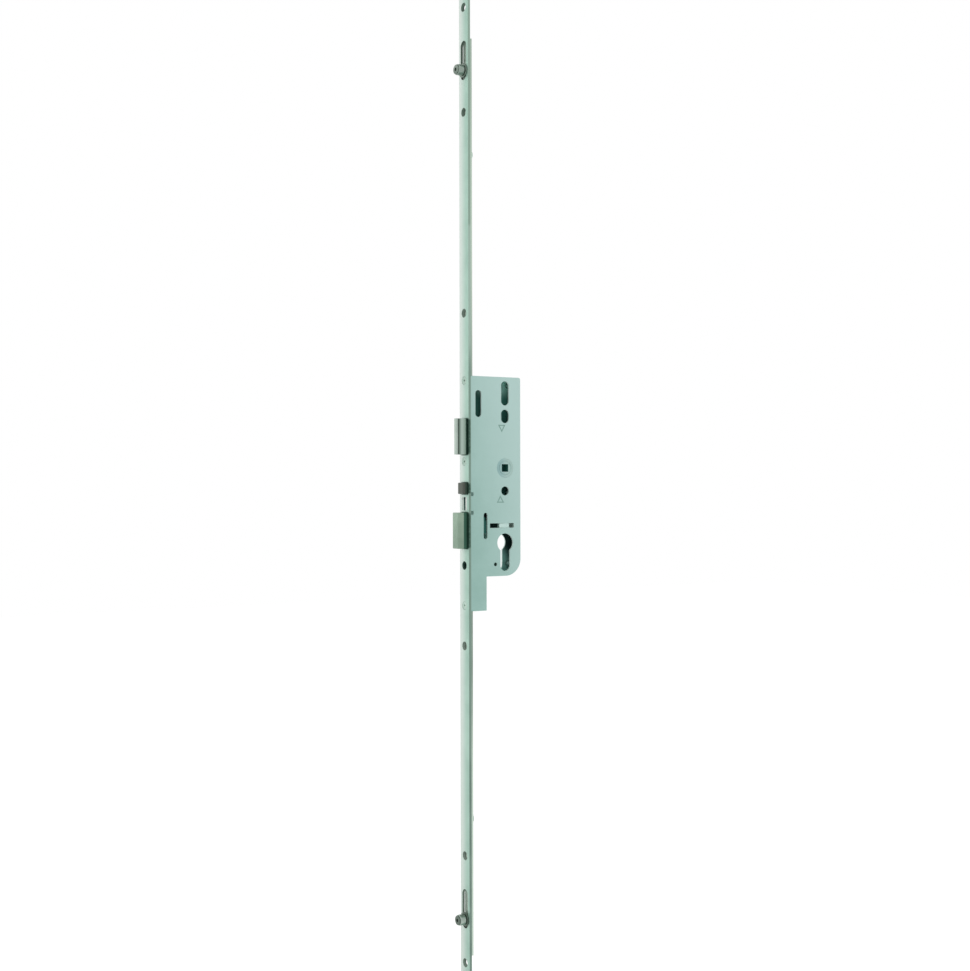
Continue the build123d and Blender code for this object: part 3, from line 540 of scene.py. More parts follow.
@dataclass(frozen=True)
class MetalFinish:
    """A metal surface: two tones, how it reflects, the grain that its making left, and painted light and
    shade.
    """

    name: str
    pale: Colour
    deep: Colour
    roughness: float
    metallic: float
    grain: Grain
    grain_scale: float = 260.0
    grain_tone: float = 0.16
    grain_depth: float = 0.12
    cloud_scale: float = 34.0
    shine: float = 0.5
    fades: tuple[SlowFade, ...] = ()
    root: GreasedRoot | None = None
    window_shade: WindowShade | None = None
    tone_gain: float = 4.0
    polish: float = -0.25
    root_shade_roughness: float = 0.12
    relief: float = 0.1 * MM

    def material(self, shelf: EffectShelf, windows: Sequence[Box]) -> bpy.types.Material:
        """Build the material.

        Args:
            shelf: the shared effects.
            windows: lowest and highest corner of what stands in each window of the strip.

        Returns:
            The finished material.
        """
        made = bpy.data.materials.new(self.name)
        made.use_nodes = True
        tree = Tree(made.node_tree)
        surface = made.node_tree.nodes["Principled BSDF"]
        cloud = shelf.place(tree, Shared.CLOUD, Scale=self.cloud_scale)
        grain = shelf.place(tree, Shared.GRAIN, Stretch=self.grain.value, Scale=self.grain_scale)
        swing = tree.sum("SUBTRACT", grain.outputs["Streak"], shelf.MIDDLE)
        lift = tree.sum("MULTIPLY", swing, self.tone_gain * self.grain_tone)
        tone = tree.sum("ADD", cloud.outputs["Tone"], lift)
        colour = tree.blend(tone, self.deep, self.pale)
        rough = tree.sum("ADD", self.roughness, tree.sum("MULTIPLY", lift, self.polish))
        for fade in self.fades:
            colour = tree.blend(fade.mask(tree, shelf), colour, fade.colour)
        # painted shade at a bolt's root, where the surface is also made a little rougher
        if self.root is not None:
            root_shade = self.root.mask(tree, shelf)
            colour = tree.blend(root_shade, colour, self.root.colour)
            rough = tree.sum("ADD", rough, tree.sum("MULTIPLY", root_shade, self.root_shade_roughness))
        # painted shade round the strip's windows
        if self.window_shade is not None:
            colour = tree.blend(self.window_shade.mask(tree, shelf, windows), colour, self.window_shade.colour)
        tree.join(colour, surface.inputs["Base Color"])
        tree.join(rough, surface.inputs["Roughness"])
        surface.inputs["Metallic"].default_value = self.metallic
        surface.inputs["Specular IOR Level"].default_value = self.shine
        bump = tree.add("ShaderNodeBump")
        bump.inputs["Strength"].default_value = self.grain_depth
        bump.inputs["Distance"].default_value = self.relief
        tree.join(grain.outputs["Height"], bump.inputs["Height"])
        tree.join(bump.outputs["Normal"], surface.inputs["Normal"])
        return made


# A dark green used as painted shade at the bolts' roots and round their windows.
CORNER_SHADE = seen(42, 74, 61)
# Painted shade on the strip round the bolts' windows: full close to them, gone further off.
RIM_SHADE = WindowShade(full=1.9 * MM, unshaded=3.3 * MM, above=2.0 * MM, colour=CORNER_SHADE)


class Finish(Enum):
    """Every finish on the lock."""

    STRIP_FRONT = MetalFinish(
        "zinc_on_strip", pale=seen(163, 194, 180), deep=seen(148, 180, 166),
        roughness=0.42, metallic=0.75, grain=Grain.ALONG_STRIP,
        # painted light: the strip's front is painted paler towards its far edge
        fades=(SlowFade(ACROSS, start=-6 * MM, end=8 * MM, colour=seen(202, 212, 206)),),
        window_shade=RIM_SHADE,
    )
    # The sheared edge's darker tone is partly its own duller metal and partly painted shade; its lighter
    # and darker bands along the length are painted light and shade.
    STRIP_EDGE = MetalFinish(
        "zinc_on_sheared_edge", pale=seen(126, 148, 137), deep=seen(108, 131, 120),
        roughness=0.55, metallic=0.7, grain=Grain.ALONG_STRIP,
        grain_scale=380.0, grain_tone=0.3,
        fades=(
            SlowFade(UP, start=-300 * MM, end=-140 * MM, colour=seen(128, 152, 140)),
            SlowFade(UP, start=90 * MM, end=120 * MM, colour=seen(160, 182, 170)),
            SlowFade(UP, start=222 * MM, end=226 * MM, colour=seen(142, 165, 151)),
        ),
        window_shade=RIM_SHADE,
    )
    # Painted shade: the walls of the strip's holes level with the case, and the dimple's disc, are
    # painted a very dark green as the shade inside them.
    STRIP_HOLE = MetalFinish(
        "deep_hole_shade", pale=seen(58, 86, 76), deep=seen(22, 44, 37),
        roughness=0.7, metallic=0.1, grain=Grain.EVEN,
        grain_scale=500.0, grain_tone=0.3, shine=0.1,
    )
    # Walls of the strip's other holes, darker and greyer than its front.
    DARK_HOLE_WALL = MetalFinish(
        "dark_hole_wall", pale=seen(124, 140, 129), deep=seen(78, 96, 85),
        roughness=0.6, metallic=0.4, grain=Grain.EVEN,
        grain_scale=500.0, grain_tone=0.3, shine=0.2,
    )
    # Painted light: the walls of the lower roller's slot are painted paler than those of the other
    # holes.
    LIT_SLOT_WALL = MetalFinish(
        "lit_slot_wall", pale=seen(166, 182, 171), deep=seen(130, 146, 135),
        roughness=0.6, metallic=0.3, grain=Grain.EVEN,
        grain_scale=500.0, grain_tone=0.3, shine=0.2,
    )
    CASE_SHEET = MetalFinish(
        "zinc_on_case", pale=seen(157, 191, 183), deep=seen(147, 182, 173),
        roughness=0.48, metallic=0.72, grain=Grain.ACROSS_SHEET,
        grain_scale=300.0, grain_tone=0.1,
        # painted light: the case sheet is painted paler towards its rear and its top
        fades=(SlowFade(REARWARD, start=-28 * MM, end=72 * MM, colour=seen(180, 207, 202)),),
    )
    # Painted highlight: the punched edges of the case's windows are painted nearly white, as edges
    # catching the light.
    CASE_EDGE = MetalFinish(
        "punched_edge_painted_highlight", pale=seen(222, 240, 234), deep=seen(190, 214, 206),
        roughness=0.6, metallic=0.3, grain=Grain.EVEN,
        grain_scale=500.0, grain_tone=0.35,
    )
    MARK = MetalFinish(
        "zinc_on_mark", pale=seen(140, 172, 163), deep=seen(128, 160, 151),
        roughness=0.5, metallic=0.7, grain=Grain.EVEN,
        grain_scale=500.0, grain_tone=0.2,
    )
    # Painted light and shade: the inside of the case is painted pale so that it reads lit through the
    # windows, with darker and brighter patches and bands painted where they show through them.
    CASE_INSIDE = MetalFinish(
        "inside_painted_light_and_shade", pale=seen(150, 202, 192), deep=seen(110, 162, 151),
        roughness=0.6, metallic=0.1, grain=Grain.EVEN,
        grain_scale=200.0, grain_tone=0.2, shine=0.15,
        fades=(
            SlowFade(SLANTED, start=-26 * MM, end=-16 * MM, colour=seen(34, 60, 58)),
            SlowFade(SLANTED, start=-5 * MM, end=-1 * MM, colour=seen(236, 252, 246)),
            SlowFade(UP, start=-40 * MM, end=-22 * MM, colour=seen(84, 148, 136)),
            SlowFade(UP, start=64 * MM, end=78 * MM, colour=seen(206, 255, 244)),
        ),
    )
    ROD = MetalFinish(
        "zinc_on_rod", pale=seen(142, 158, 146), deep=seen(124, 141, 129),
        roughness=0.45, metallic=0.75, grain=Grain.ALONG_STRIP,
        grain_scale=300.0, grain_tone=0.2,
        # painted light: the rod's front face, seen through the strip's slots, is painted paler than its
        # back and sides, and the upper rod paler towards its top
        fades=(
            SlowFade(OUTWARD, start=-4.6 * MM, end=-3.6 * MM, colour=seen(182, 198, 186)),
            SlowFade(UP, start=250 * MM, end=340 * MM, colour=seen(158, 174, 162)),
        ),
    )
    ROD_EDGE = MetalFinish(
        "zinc_on_rod_edge", pale=seen(152, 169, 157), deep=seen(136, 153, 142),
        roughness=0.5, metallic=0.7, grain=Grain.ALONG_STRIP,
        grain_scale=380.0, grain_tone=0.3,
        # painted light and shade: the rods' edges and the channel are painted paler and darker in bands
        # along their length
        fades=(
            SlowFade(DOWN, start=180 * MM, end=285 * MM, colour=seen(200, 216, 203)),
            SlowFade(UP, start=50 * MM, end=210 * MM, colour=seen(190, 206, 192)),
            SlowFade(UP, start=270 * MM, end=370 * MM, colour=seen(170, 186, 173)),
        ),
    )
    SCREW = MetalFinish(
        "zinc_on_screw", pale=seen(178, 200, 188), deep=seen(146, 170, 157),
        roughness=0.4, metallic=0.8, grain=Grain.EVEN,
        grain_scale=600.0, grain_tone=0.2,
    )
    INNER = MetalFinish(
        "oiled_steel", pale=seen(120, 152, 144), deep=seen(82, 112, 104),
        roughness=0.5, metallic=0.4, grain=Grain.EVEN,
        grain_scale=300.0, grain_tone=0.2, shine=0.3,
    )
    ROLLER = MetalFinish(
        "turned_roller_steel", pale=seen(170, 184, 175), deep=seen(122, 136, 127),
        roughness=0.3, metallic=0.9, grain=Grain.EVEN,
        grain_scale=700.0, grain_tone=0.2,
    )
    STUD = MetalFinish(
        "dark_stud_steel", pale=seen(140, 154, 144), deep=seen(92, 106, 96),
        roughness=0.36, metallic=0.85, grain=Grain.EVEN,
        grain_scale=600.0, grain_tone=0.2,
        # painted shade: the lower stud is painted darker than the upper one
        fades=(SlowFade(DOWN, start=300 * MM, end=380 * MM, colour=seen(92, 106, 96)),),
    )
    FOLLOWER = MetalFinish(
        "die_cast_follower", pale=seen(152, 185, 183), deep=seen(140, 174, 172),
        roughness=0.55, metallic=0.65, grain=Grain.EVEN,
        grain_scale=520.0, grain_tone=0.12, grain_depth=0.3,
        # painted light and shade: the hub is painted paler on its rear half than on its front half
        fades=(
            SlowFade(INWARD, start=BACKSET - 7 * MM, end=BACKSET + 4 * MM, colour=seen(170, 197, 191)),
        ),
    )
    # Painted shade: the square hole's walls are painted a dull dark teal, as the shade inside the hole.
    FOLLOWER_SQUARE = MetalFinish(
        "square_painted_shade", pale=seen(54, 116, 106), deep=seen(32, 86, 79),
        roughness=0.9, metallic=0.0, grain=Grain.EVEN,
        grain_scale=520.0, grain_tone=0.2, grain_depth=0.3, shine=0.0,
    )
    LATCH = MetalFinish(
        "nickel_on_latch", pale=seen(180, 194, 185), deep=seen(160, 176, 166),
        roughness=0.34, metallic=0.85, grain=Grain.ALONG_BOLT,
        # painted shade: a dark band just behind the groove, then a darker band towards the latch's root
        fades=(
            SlowFade(INWARD, start=-9.6 * MM, end=-9.0 * MM, colour=seen(104, 122, 111)),
            SlowFade(INWARD, start=-8.4 * MM, end=-6.4 * MM, colour=seen(164, 182, 172)),
            SlowFade(INWARD, start=-5.0 * MM, end=-3.0 * MM, colour=seen(140, 162, 149)),
        ),
        # painted shade where the latch's side meets the strip
        root=GreasedRoot(unshaded_x=-2.3 * MM, shaded_x=-1.2 * MM, colour=CORNER_SHADE),
    )
    # Painted shade in the groove down the latch's nose.
    BOLT_GROOVE = MetalFinish(
        "groove_painted_shade", pale=seen(96, 112, 102), deep=seen(60, 76, 67),
        roughness=0.5, metallic=0.5, grain=Grain.EVEN,
        grain_scale=520.0, grain_tone=0.2,
    )
    DEADBOLT = MetalFinish(
        "nickel_on_deadbolt", pale=seen(146, 168, 150), deep=seen(126, 148, 131),
        roughness=0.34, metallic=0.85, grain=Grain.ALONG_BOLT,
        # painted shade where the deadbolt's side meets the strip
        root=GreasedRoot(unshaded_x=-4.3 * MM, shaded_x=-3.7 * MM, colour=seen(56, 94, 78)),
    )
    # Painted light and shade: the tail and its guide lug are painted very pale so that they read lit
    # inside the shaded case, and the tail is painted dark towards its front end, as the shade seen in
    # the level slot.
    TAIL = MetalFinish(
        "zinc_on_tail", pale=seen(196, 222, 216), deep=seen(178, 204, 197),
        roughness=0.42, metallic=0.75, grain=Grain.ALONG_BOLT,
        fades=(SlowFade(OUTWARD, start=-24.0 * MM, end=-21.5 * MM, colour=seen(38, 88, 80)),),
    )
    # Painted light: the foot and the walls of the strip's foot window are painted nearly white so that
    # they read lit in their recess.
    FOOT = MetalFinish(
        "foot_painted_light", pale=seen(246, 252, 248), deep=seen(226, 238, 231),
        roughness=0.6, metallic=0.0, grain=Grain.ALONG_STRIP,
    )
    TRIGGER = MetalFinish(
        "dark_die_casting", pale=seen(86, 92, 84), deep=seen(60, 66, 59),
        roughness=0.5, metallic=0.5, grain=Grain.EVEN,
        grain_scale=520.0, grain_tone=0.25, grain_depth=0.3,
        # painted shade where the plunger's side meets the strip
        root=GreasedRoot(unshaded_x=-2.8 * MM, shaded_x=-1.8 * MM, colour=seen(54, 76, 64)),
    )
    SPRING = MetalFinish(
        "spring_wire", pale=seen(124, 128, 122), deep=seen(78, 82, 77),
        roughness=0.32, metallic=0.9, grain=Grain.EVEN,
        grain_scale=800.0, grain_tone=0.2,
    )


CASE_PLATE = (Finish.CASE_SHEET, Finish.CASE_EDGE, Finish.CASE_INSIDE)


class Corner(Enum):
    """Which corner of a turned profile is rounded.

    The values are the way to the metal along the depth, then the first and last angle in turns.
    """

    FRONT = (1, 0.5, 0.25)
    REAR = (-1, 0.25, 0.0)


def break_edges(
    mesh: bmesh.types.BMesh, width: float, steps: int = 2, pick: EdgePick | None = None
) -> None:
    """Round off a mesh's sharp edges.

    Args:
        mesh: the mesh, changed in place.
        width: how far the rounding reaches into each face.
        steps: how many faces it has.
        pick: which of the sharp edges to take, or all of them.
    """
    edges = [
        e for e in mesh.edges
        if e.is_manifold and e.calc_face_angle(0) > BREAK_TURN and (pick is None or pick(e))
    ]
    bmesh.ops.bevel(
        mesh, geom=edges, offset=width, offset_type="OFFSET", segments=steps, profile=ROUND_PROFILE,
        affect="EDGES", clamp_overlap=True, material=-1,
    )


def spun(
    profile: Sequence[tuple[float, float]], height: float, closed: bool, steps: int
) -> bmesh.types.BMesh:
    """Turn a profile about a level axis that runs into the door.

    Args:
        profile: depth and radius of each point, from one end to the other.
        height: height of the axis.
        closed: whether the last point joins the first, as on a piece with a bore.
        steps: how many sides the turned piece has.

    Returns:
        The turned mesh, with its faces outwards.
    """
    mesh = bmesh.new()
    points = [mesh.verts.new((depth, 0.0, height + radius)) for depth, radius in profile]
    pairs = list(zip(points, points[1:]))
    if closed:
        pairs.append((points[-1], points[0]))
    lines = [mesh.edges.new(pair) for pair in pairs]
    bmesh.ops.spin(
        mesh, geom=points + lines, cent=(0.0, 0.0, height), axis=(1.0, 0.0, 0.0), dvec=(0.0, 0.0, 0.0),
        angle=2 * pi, steps=steps, use_merge=True,
    )
    bmesh.ops.remove_doubles(mesh, verts=mesh.verts, dist=MERGE_DISTANCE)
    bmesh.ops.recalc_face_normals(mesh, faces=mesh.faces)
    return mesh


def rounded(depth: float, radius: float, reach: float, corner: Corner) -> list[tuple[float, float]]:
    """The points of one rounded corner of a turned profile.

    Args:
        depth: depth of the sharp corner.
        radius: radius of the sharp corner.
        reach: radius of the rounding.
        corner: which corner it is.

    Returns:
        Points on a quarter circle.
    """
    side, first, last = corner.value
    centre = (depth + side * reach, radius - reach)
    turns = [first + (last - first) * step / ARC_STEPS for step in range(ARC_STEPS + 1)]
    return [(centre[0] + reach * cos(2 * pi * t), centre[1] + reach * sin(2 * pi * t)) for t in turns]


@dataclass
class Workshop:
    """What every sub-assembly works with: the CAD nodes and the finished materials."""

    nodes: dict[str, bpy.types.Object]
    materials: dict[Finish, bpy.types.Material]

    def clad(self, finish: Finish, *names: str) -> None:
        """Give CAD nodes that stay as they are a finish.

        Args:
            finish: which finish they get.
            names: the nodes.
        """
        for name in names:
            node = self.nodes[name]
            if not node.material_slots:
                node.data.materials.append(None)
            for place in node.material_slots:
                place.material = self.materials[finish]
            log.info("node %s: %s", name, finish.value.name)

    def copy(self, name: str) -> bmesh.types.BMesh:
        """Copy a CAD node's mesh and join up its loose triangles.

        Args:
            name: the node.

        Returns:
            The copy, with its flat areas as whole faces.
        """
        mesh = bmesh.new()
        mesh.from_mesh(self.nodes[name].data)
        bmesh.ops.remove_doubles(mesh, verts=mesh.verts, dist=MERGE_DISTANCE)
        bmesh.ops.dissolve_limit(mesh, angle_limit=FLAT_TURN, verts=mesh.verts, edges=mesh.edges)
        return mesh

    def settle(
        self,
        mesh: bmesh.types.BMesh,
        name: str,
        body: str,
        slot: str,
        finishes: Sequence[Finish],
        replaced: Sequence[str] = (),
        pick: FacePick | None = None,
    ) -> bpy.types.Object:
        """Turn a mesh into a finished piece of the lock.

        Args:
            mesh: the mesh, which is used up.
            name: the piece's name.
            body: the CAD body that it rides on.
            slot: the record's material slot for the piece; not used.
            finishes: its finishes.
            replaced: the CAD nodes that it stands for.
            pick: which of the finishes a face gets. Without it, all faces get the first.

        Returns:
            The piece.
        """
        for face in mesh.faces:
            face.smooth = True
            face.material_index = finishes.index(pick(face)) if pick else 0
        data = bpy.data.meshes.new(name)
        mesh.to_mesh(data)
        mesh.free()
        data.set_sharp_from_angle(angle=SHARP_TURN)
        for finish in finishes:
            data.materials.append(self.materials[finish])
        piece = bpy.data.objects.new(name, data)
        bpy.context.scene.collection.objects.link(piece)
        even = piece.modifiers.new("even_shading", "WEIGHTED_NORMAL")
        even.keep_sharp = True
        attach(piece, body)
        if replaced:
            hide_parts(*replaced)
        log.info("piece %s: %d faces, rides on %s", name, len(data.polygons), body)
        return piece

    def dress(
        self,
        node: str,
        name: str,
        body: str,
        slot: str,
        finishes: Sequence[Finish],
        edge: float,
        steps: int = 2,
        pick: FacePick | None = None,
    ) -> None:
        """Stand a copy with broken edges in for a CAD node.

        Args:
            node: the node.
            name: the piece's name.
            body: the CAD body that it rides on.
            slot: the record's material slot for the piece, passed on to settle, which does not use it.
            finishes: its finishes.
            edge: how far the rounding of its edges reaches into each face.
            steps: how many faces that rounding has.
            pick: which of the finishes a face gets. Without it, all faces get the first.
        """
        mesh = self.copy(node)
        break_edges(mesh, edge, steps)
        self.settle(mesh, name, body, slot, finishes, (node,), pick)


@dataclass
class SubAssembly:
    """A group of pieces that belong together."""

    shop: Workshop

    def build(self) -> None:
        """Make and dress the pieces."""
        raise NotImplementedError


@dataclass
class Faceplate(SubAssembly):
    """The strip on the door's edge, its screws, and the studs behind it."""

    edge: float = 0.3 * MM
    screw_edge: float = 0.1 * MM
    flat: float = 0.9
    foot_window: tuple[float, float] = (-40.5 * MM, -26.0 * MM)
    slot_reach: float = 24.0 * MM
    finishes: tuple[Finish, ...] = (
        Finish.STRIP_FRONT, Finish.STRIP_EDGE, Finish.STRIP_HOLE, Finish.FOOT, Finish.LIT_SLOT_WALL,
        Finish.DARK_HOLE_WALL,
    )

    def build(self) -> None:
        """Dress the strip with bright faces, duller sheared edges with some painted shade, holes with
        painted shade, a foot window and a lower slot with painted light, then the screws.
        """
        low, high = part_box("faceplate")
        case_low, case_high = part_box("case_cover")
        lower_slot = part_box("lower_roller_stud")[1].z
        near_edge = 2 * self.edge

        def pick(face: bmesh.types.BMFace) -> Finish:
            """Tell faces, sheared edges, the foot's window, the lower slot and other holes apart."""
            middle = face.calc_center_median()
            margin = min(middle.y - low.y, high.y - middle.y, middle.z - low.z, high.z - middle.z)
            if abs(face.normal.x) > self.flat:
                return Finish.STRIP_FRONT
            if margin < near_edge:
                return Finish.STRIP_EDGE
            if self.foot_window[0] < middle.z < self.foot_window[1]:
                return Finish.FOOT
            if lower_slot < middle.z < lower_slot + self.slot_reach:
                return Finish.LIT_SLOT_WALL
            if case_low.z < middle.z < case_high.z:
                return Finish.STRIP_HOLE
            return Finish.DARK_HOLE_WALL

        self.shop.dress(
            "faceplate", "faceplate_strip", "lock_body", "zinc_faceplate", self.finishes, self.edge,
            pick=pick,
        )
        self.shop.dress(
            "case_screws", "case_screw_set", "lock_body", "plated_screws", (Finish.SCREW,),
            self.screw_edge,
        )
        self.shop.clad(Finish.SCREW, "rod_studs")


@dataclass
class GearCase(SubAssembly):
    """The plates and the band of the case, what is fixed inside, and the marks stamped on the cover."""

    bend: float = 1.3 * MM
    edge: float = 0.2 * MM
    mark_reach: float = 4.6 * MM
    mark_line: float = 1.0 * MM
    mark_rise: float = 0.1 * MM
    mark_corners: int = 3
    marks: tuple[Triple, ...] = ((36.4 * MM, 38.0 * MM, pi), (34.8 * MM, -30.2 * MM, 0.0))
    tab_heights: tuple[float, ...] = (-24.4 * MM, -41.6 * MM)
    tab_length: float = 2.9 * MM
    tab_width: float = 3.2 * MM
    tab_sunk: float = 0.3 * MM
    dimple_place: tuple[float, float] = (29.4 * MM, -90.0 * MM)
    dimple_width: float = 3.6 * MM
    dimple_sides: int = 32
    forward: float = -0.3

    def build(self) -> None:
        """Dress the case, stamp the cover and clad the fittings inside."""
        self._cover()
        self._far_plate()
        self._band()
        self._marks()
        self._tabs()
        self._dimple()
        self.shop.clad(
            Finish.INNER, "case_posts", "screw_blocks", "latch_bracket", "follower_spring_seat",
            "trigger_spring_seat", "tumbler_spring_seat", "tumbler_post",
        )

    def _cover(self) -> None:
        """The near plate: its outer bend is rounder than the punched windows."""
        low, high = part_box("case_cover")
        cover = self.shop.copy("case_cover")
        near = low.y

        def outer(edge: bmesh.types.BMEdge) -> bool:
            """Whether an edge is part of the outer bend on the near side."""
            middle = (edge.verts[0].co + edge.verts[1].co) / 2
            on_near = all(abs(v.co.y - near) < MERGE_DISTANCE for v in edge.verts)
            ends = (high.x - middle.x, high.z - middle.z)
            return on_near and min(ends) < MERGE_DISTANCE

        break_edges(cover, self.bend, steps=3, pick=outer)
        break_edges(cover, self.edge)
        inner = high.y

        def pick(face: bmesh.types.BMFace) -> Finish:
            """Sheet outside, punched edge with a painted highlight in the windows, painted light and
            shade inside.
            """
            if abs(face.normal.y) < LOOKING:
                return Finish.CASE_EDGE
            inside = face.calc_center_median().y > inner - MERGE_DISTANCE
            return Finish.CASE_INSIDE if inside else Finish.CASE_SHEET

        self.shop.settle(
            cover, "near_cover", "lock_body", "zinc_case", CASE_PLATE, ("case_cover",), pick
        )

    def _far_plate(self) -> None:
        """The far plate: sheet outside, painted light and shade inside, and punched edges with a painted
        highlight.
        """

        def pick(face: bmesh.types.BMFace) -> Finish:
            """Sheet outside, punched edge with a painted highlight in the windows, painted light and
            shade inside.
            """
            if abs(face.normal.y) < LOOKING:
                return Finish.CASE_EDGE
            return Finish.CASE_SHEET if face.normal.y > 0 else Finish.CASE_INSIDE

        self.shop.dress(
            "lock_case", "far_plate", "lock_body", "zinc_case", CASE_PLATE, self.edge, pick=pick
        )

    def _band(self) -> None:
        """The band between the plates: sheet outside and painted light and shade inside."""
        band = self.shop.copy("case_rim")
        tree = BVHTree.FromBMesh(band)

        def pick(face: bmesh.types.BMFace) -> Finish:
            """Painted light and shade on what faces the room between the plates or the strip."""
            start = face.calc_center_median() + face.normal * self.edge
            faces_metal = tree.ray_cast(start, face.normal)[0] is not None
            inside = faces_metal or face.normal.x < self.forward
            return Finish.CASE_INSIDE if inside else Finish.CASE_SHEET

        self.shop.settle(
            band, "case_band", "lock_body", "zinc_case", (Finish.CASE_SHEET, Finish.CASE_INSIDE),
            ("case_rim",), pick,
        )

    def _marks(self) -> None:
        """Plain outlined triangles, raised a hair above the cover, each at an x, a z and a turn."""
        low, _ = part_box("case_cover")
        marks = bmesh.new()
        for x, z, turn in self.marks:
            older = set(marks.verts)
            made = bmesh.ops.create_circle(
                marks, cap_ends=True, segments=self.mark_corners, radius=self.mark_reach
            )
            inner = made["verts"][0].link_faces[0]
            rim = bmesh.ops.inset_individual(
                marks, faces=[inner], thickness=self.mark_line, use_even_offset=True
            )["faces"]
            bmesh.ops.delete(marks, geom=[inner], context="FACES_ONLY")
            raised = bmesh.ops.extrude_face_region(marks, geom=rim, use_keep_orig=True)["geom"]
            top = [part for part in raised if isinstance(part, bmesh.types.BMVert)]
            bmesh.ops.translate(marks, verts=top, vec=(0, 0, self.mark_rise))
            verts = [vert for vert in marks.verts if vert not in older]
            bmesh.ops.rotate(marks, verts=verts, matrix=FACE_NEAR @ Matrix.Rotation(turn, 3, "Z"))
            bmesh.ops.translate(marks, verts=verts, vec=(x, low.y, z))
        bmesh.ops.recalc_face_normals(marks, faces=marks.faces)
        self.shop.settle(marks, "stamped_marks", "lock_body", "zinc_case", (Finish.MARK,))

    def _tabs(self) -> None:
        """The strip's tabs, seated a little sunk in the notches of the cover's front edge."""
        low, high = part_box("case_cover")
        tabs = bmesh.new()
        thickness = high.y - low.y - self.tab_sunk
        for z in self.tab_heights:
            made = bmesh.ops.create_cube(tabs, size=1.0)
            bmesh.ops.scale(tabs, verts=made["verts"], vec=(self.tab_length, thickness, self.tab_width))
            bmesh.ops.translate(
                tabs, verts=made["verts"], vec=(low.x + self.tab_length / 2, high.y - thickness / 2, z)
            )
        break_edges(tabs, self.edge)
        self.shop.settle(tabs, "strip_tabs", "lock_body", "zinc_faceplate", (Finish.INNER,))

    def _dimple(self) -> None:
        """The shallow cup that closes the small round hole near the case's foot, painted dark as the
        shade inside the hole.
        """
        _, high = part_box("case_cover")
        x, z = self.dimple_place
        cup = bmesh.new()
        made = bmesh.ops.create_cone(
            cup, cap_ends=True, segments=self.dimple_sides, radius1=self.dimple_width / 2,
            radius2=self.dimple_width / 2, depth=self.edge,
        )
        bmesh.ops.rotate(cup, verts=made["verts"], matrix=FACE_NEAR)
        bmesh.ops.translate(cup, verts=made["verts"], vec=(x, high.y - self.edge / 2, z))
        self.shop.settle(cup, "dimple_shade_disc", "lock_body", "zinc_case", (Finish.STRIP_HOLE,))


@dataclass
class Rods(SubAssembly):
    """The two flat rods, their guide and the drive slide that moves them."""

    edge: float = 0.25 * MM

    def build(self) -> None:
        """Dress the rods and the guide with broken edges."""
        for node, name in (("upper_rod", "upper_flat_rod"), ("lower_rod", "lower_flat_rod")):
            self.shop.dress(
                node, name, "drive_rods", "zinc_rod", (Finish.ROD, Finish.ROD_EDGE), self.edge,
                pick=self._pick,
            )
        self.shop.dress(
            "upper_rod_guide", "rod_channel", "lock_body", "zinc_rod", (Finish.ROD_EDGE,),
            self.edge / 2,
        )
        self.shop.clad(Finish.INNER, "drive_slide", "drive_sector")

    @staticmethod
    def _pick(face: bmesh.types.BMFace) -> Finish:
        """The rods' broad faces, then their narrow ones."""
        return Finish.ROD if abs(face.normal.x) > LOOKING else Finish.ROD_EDGE


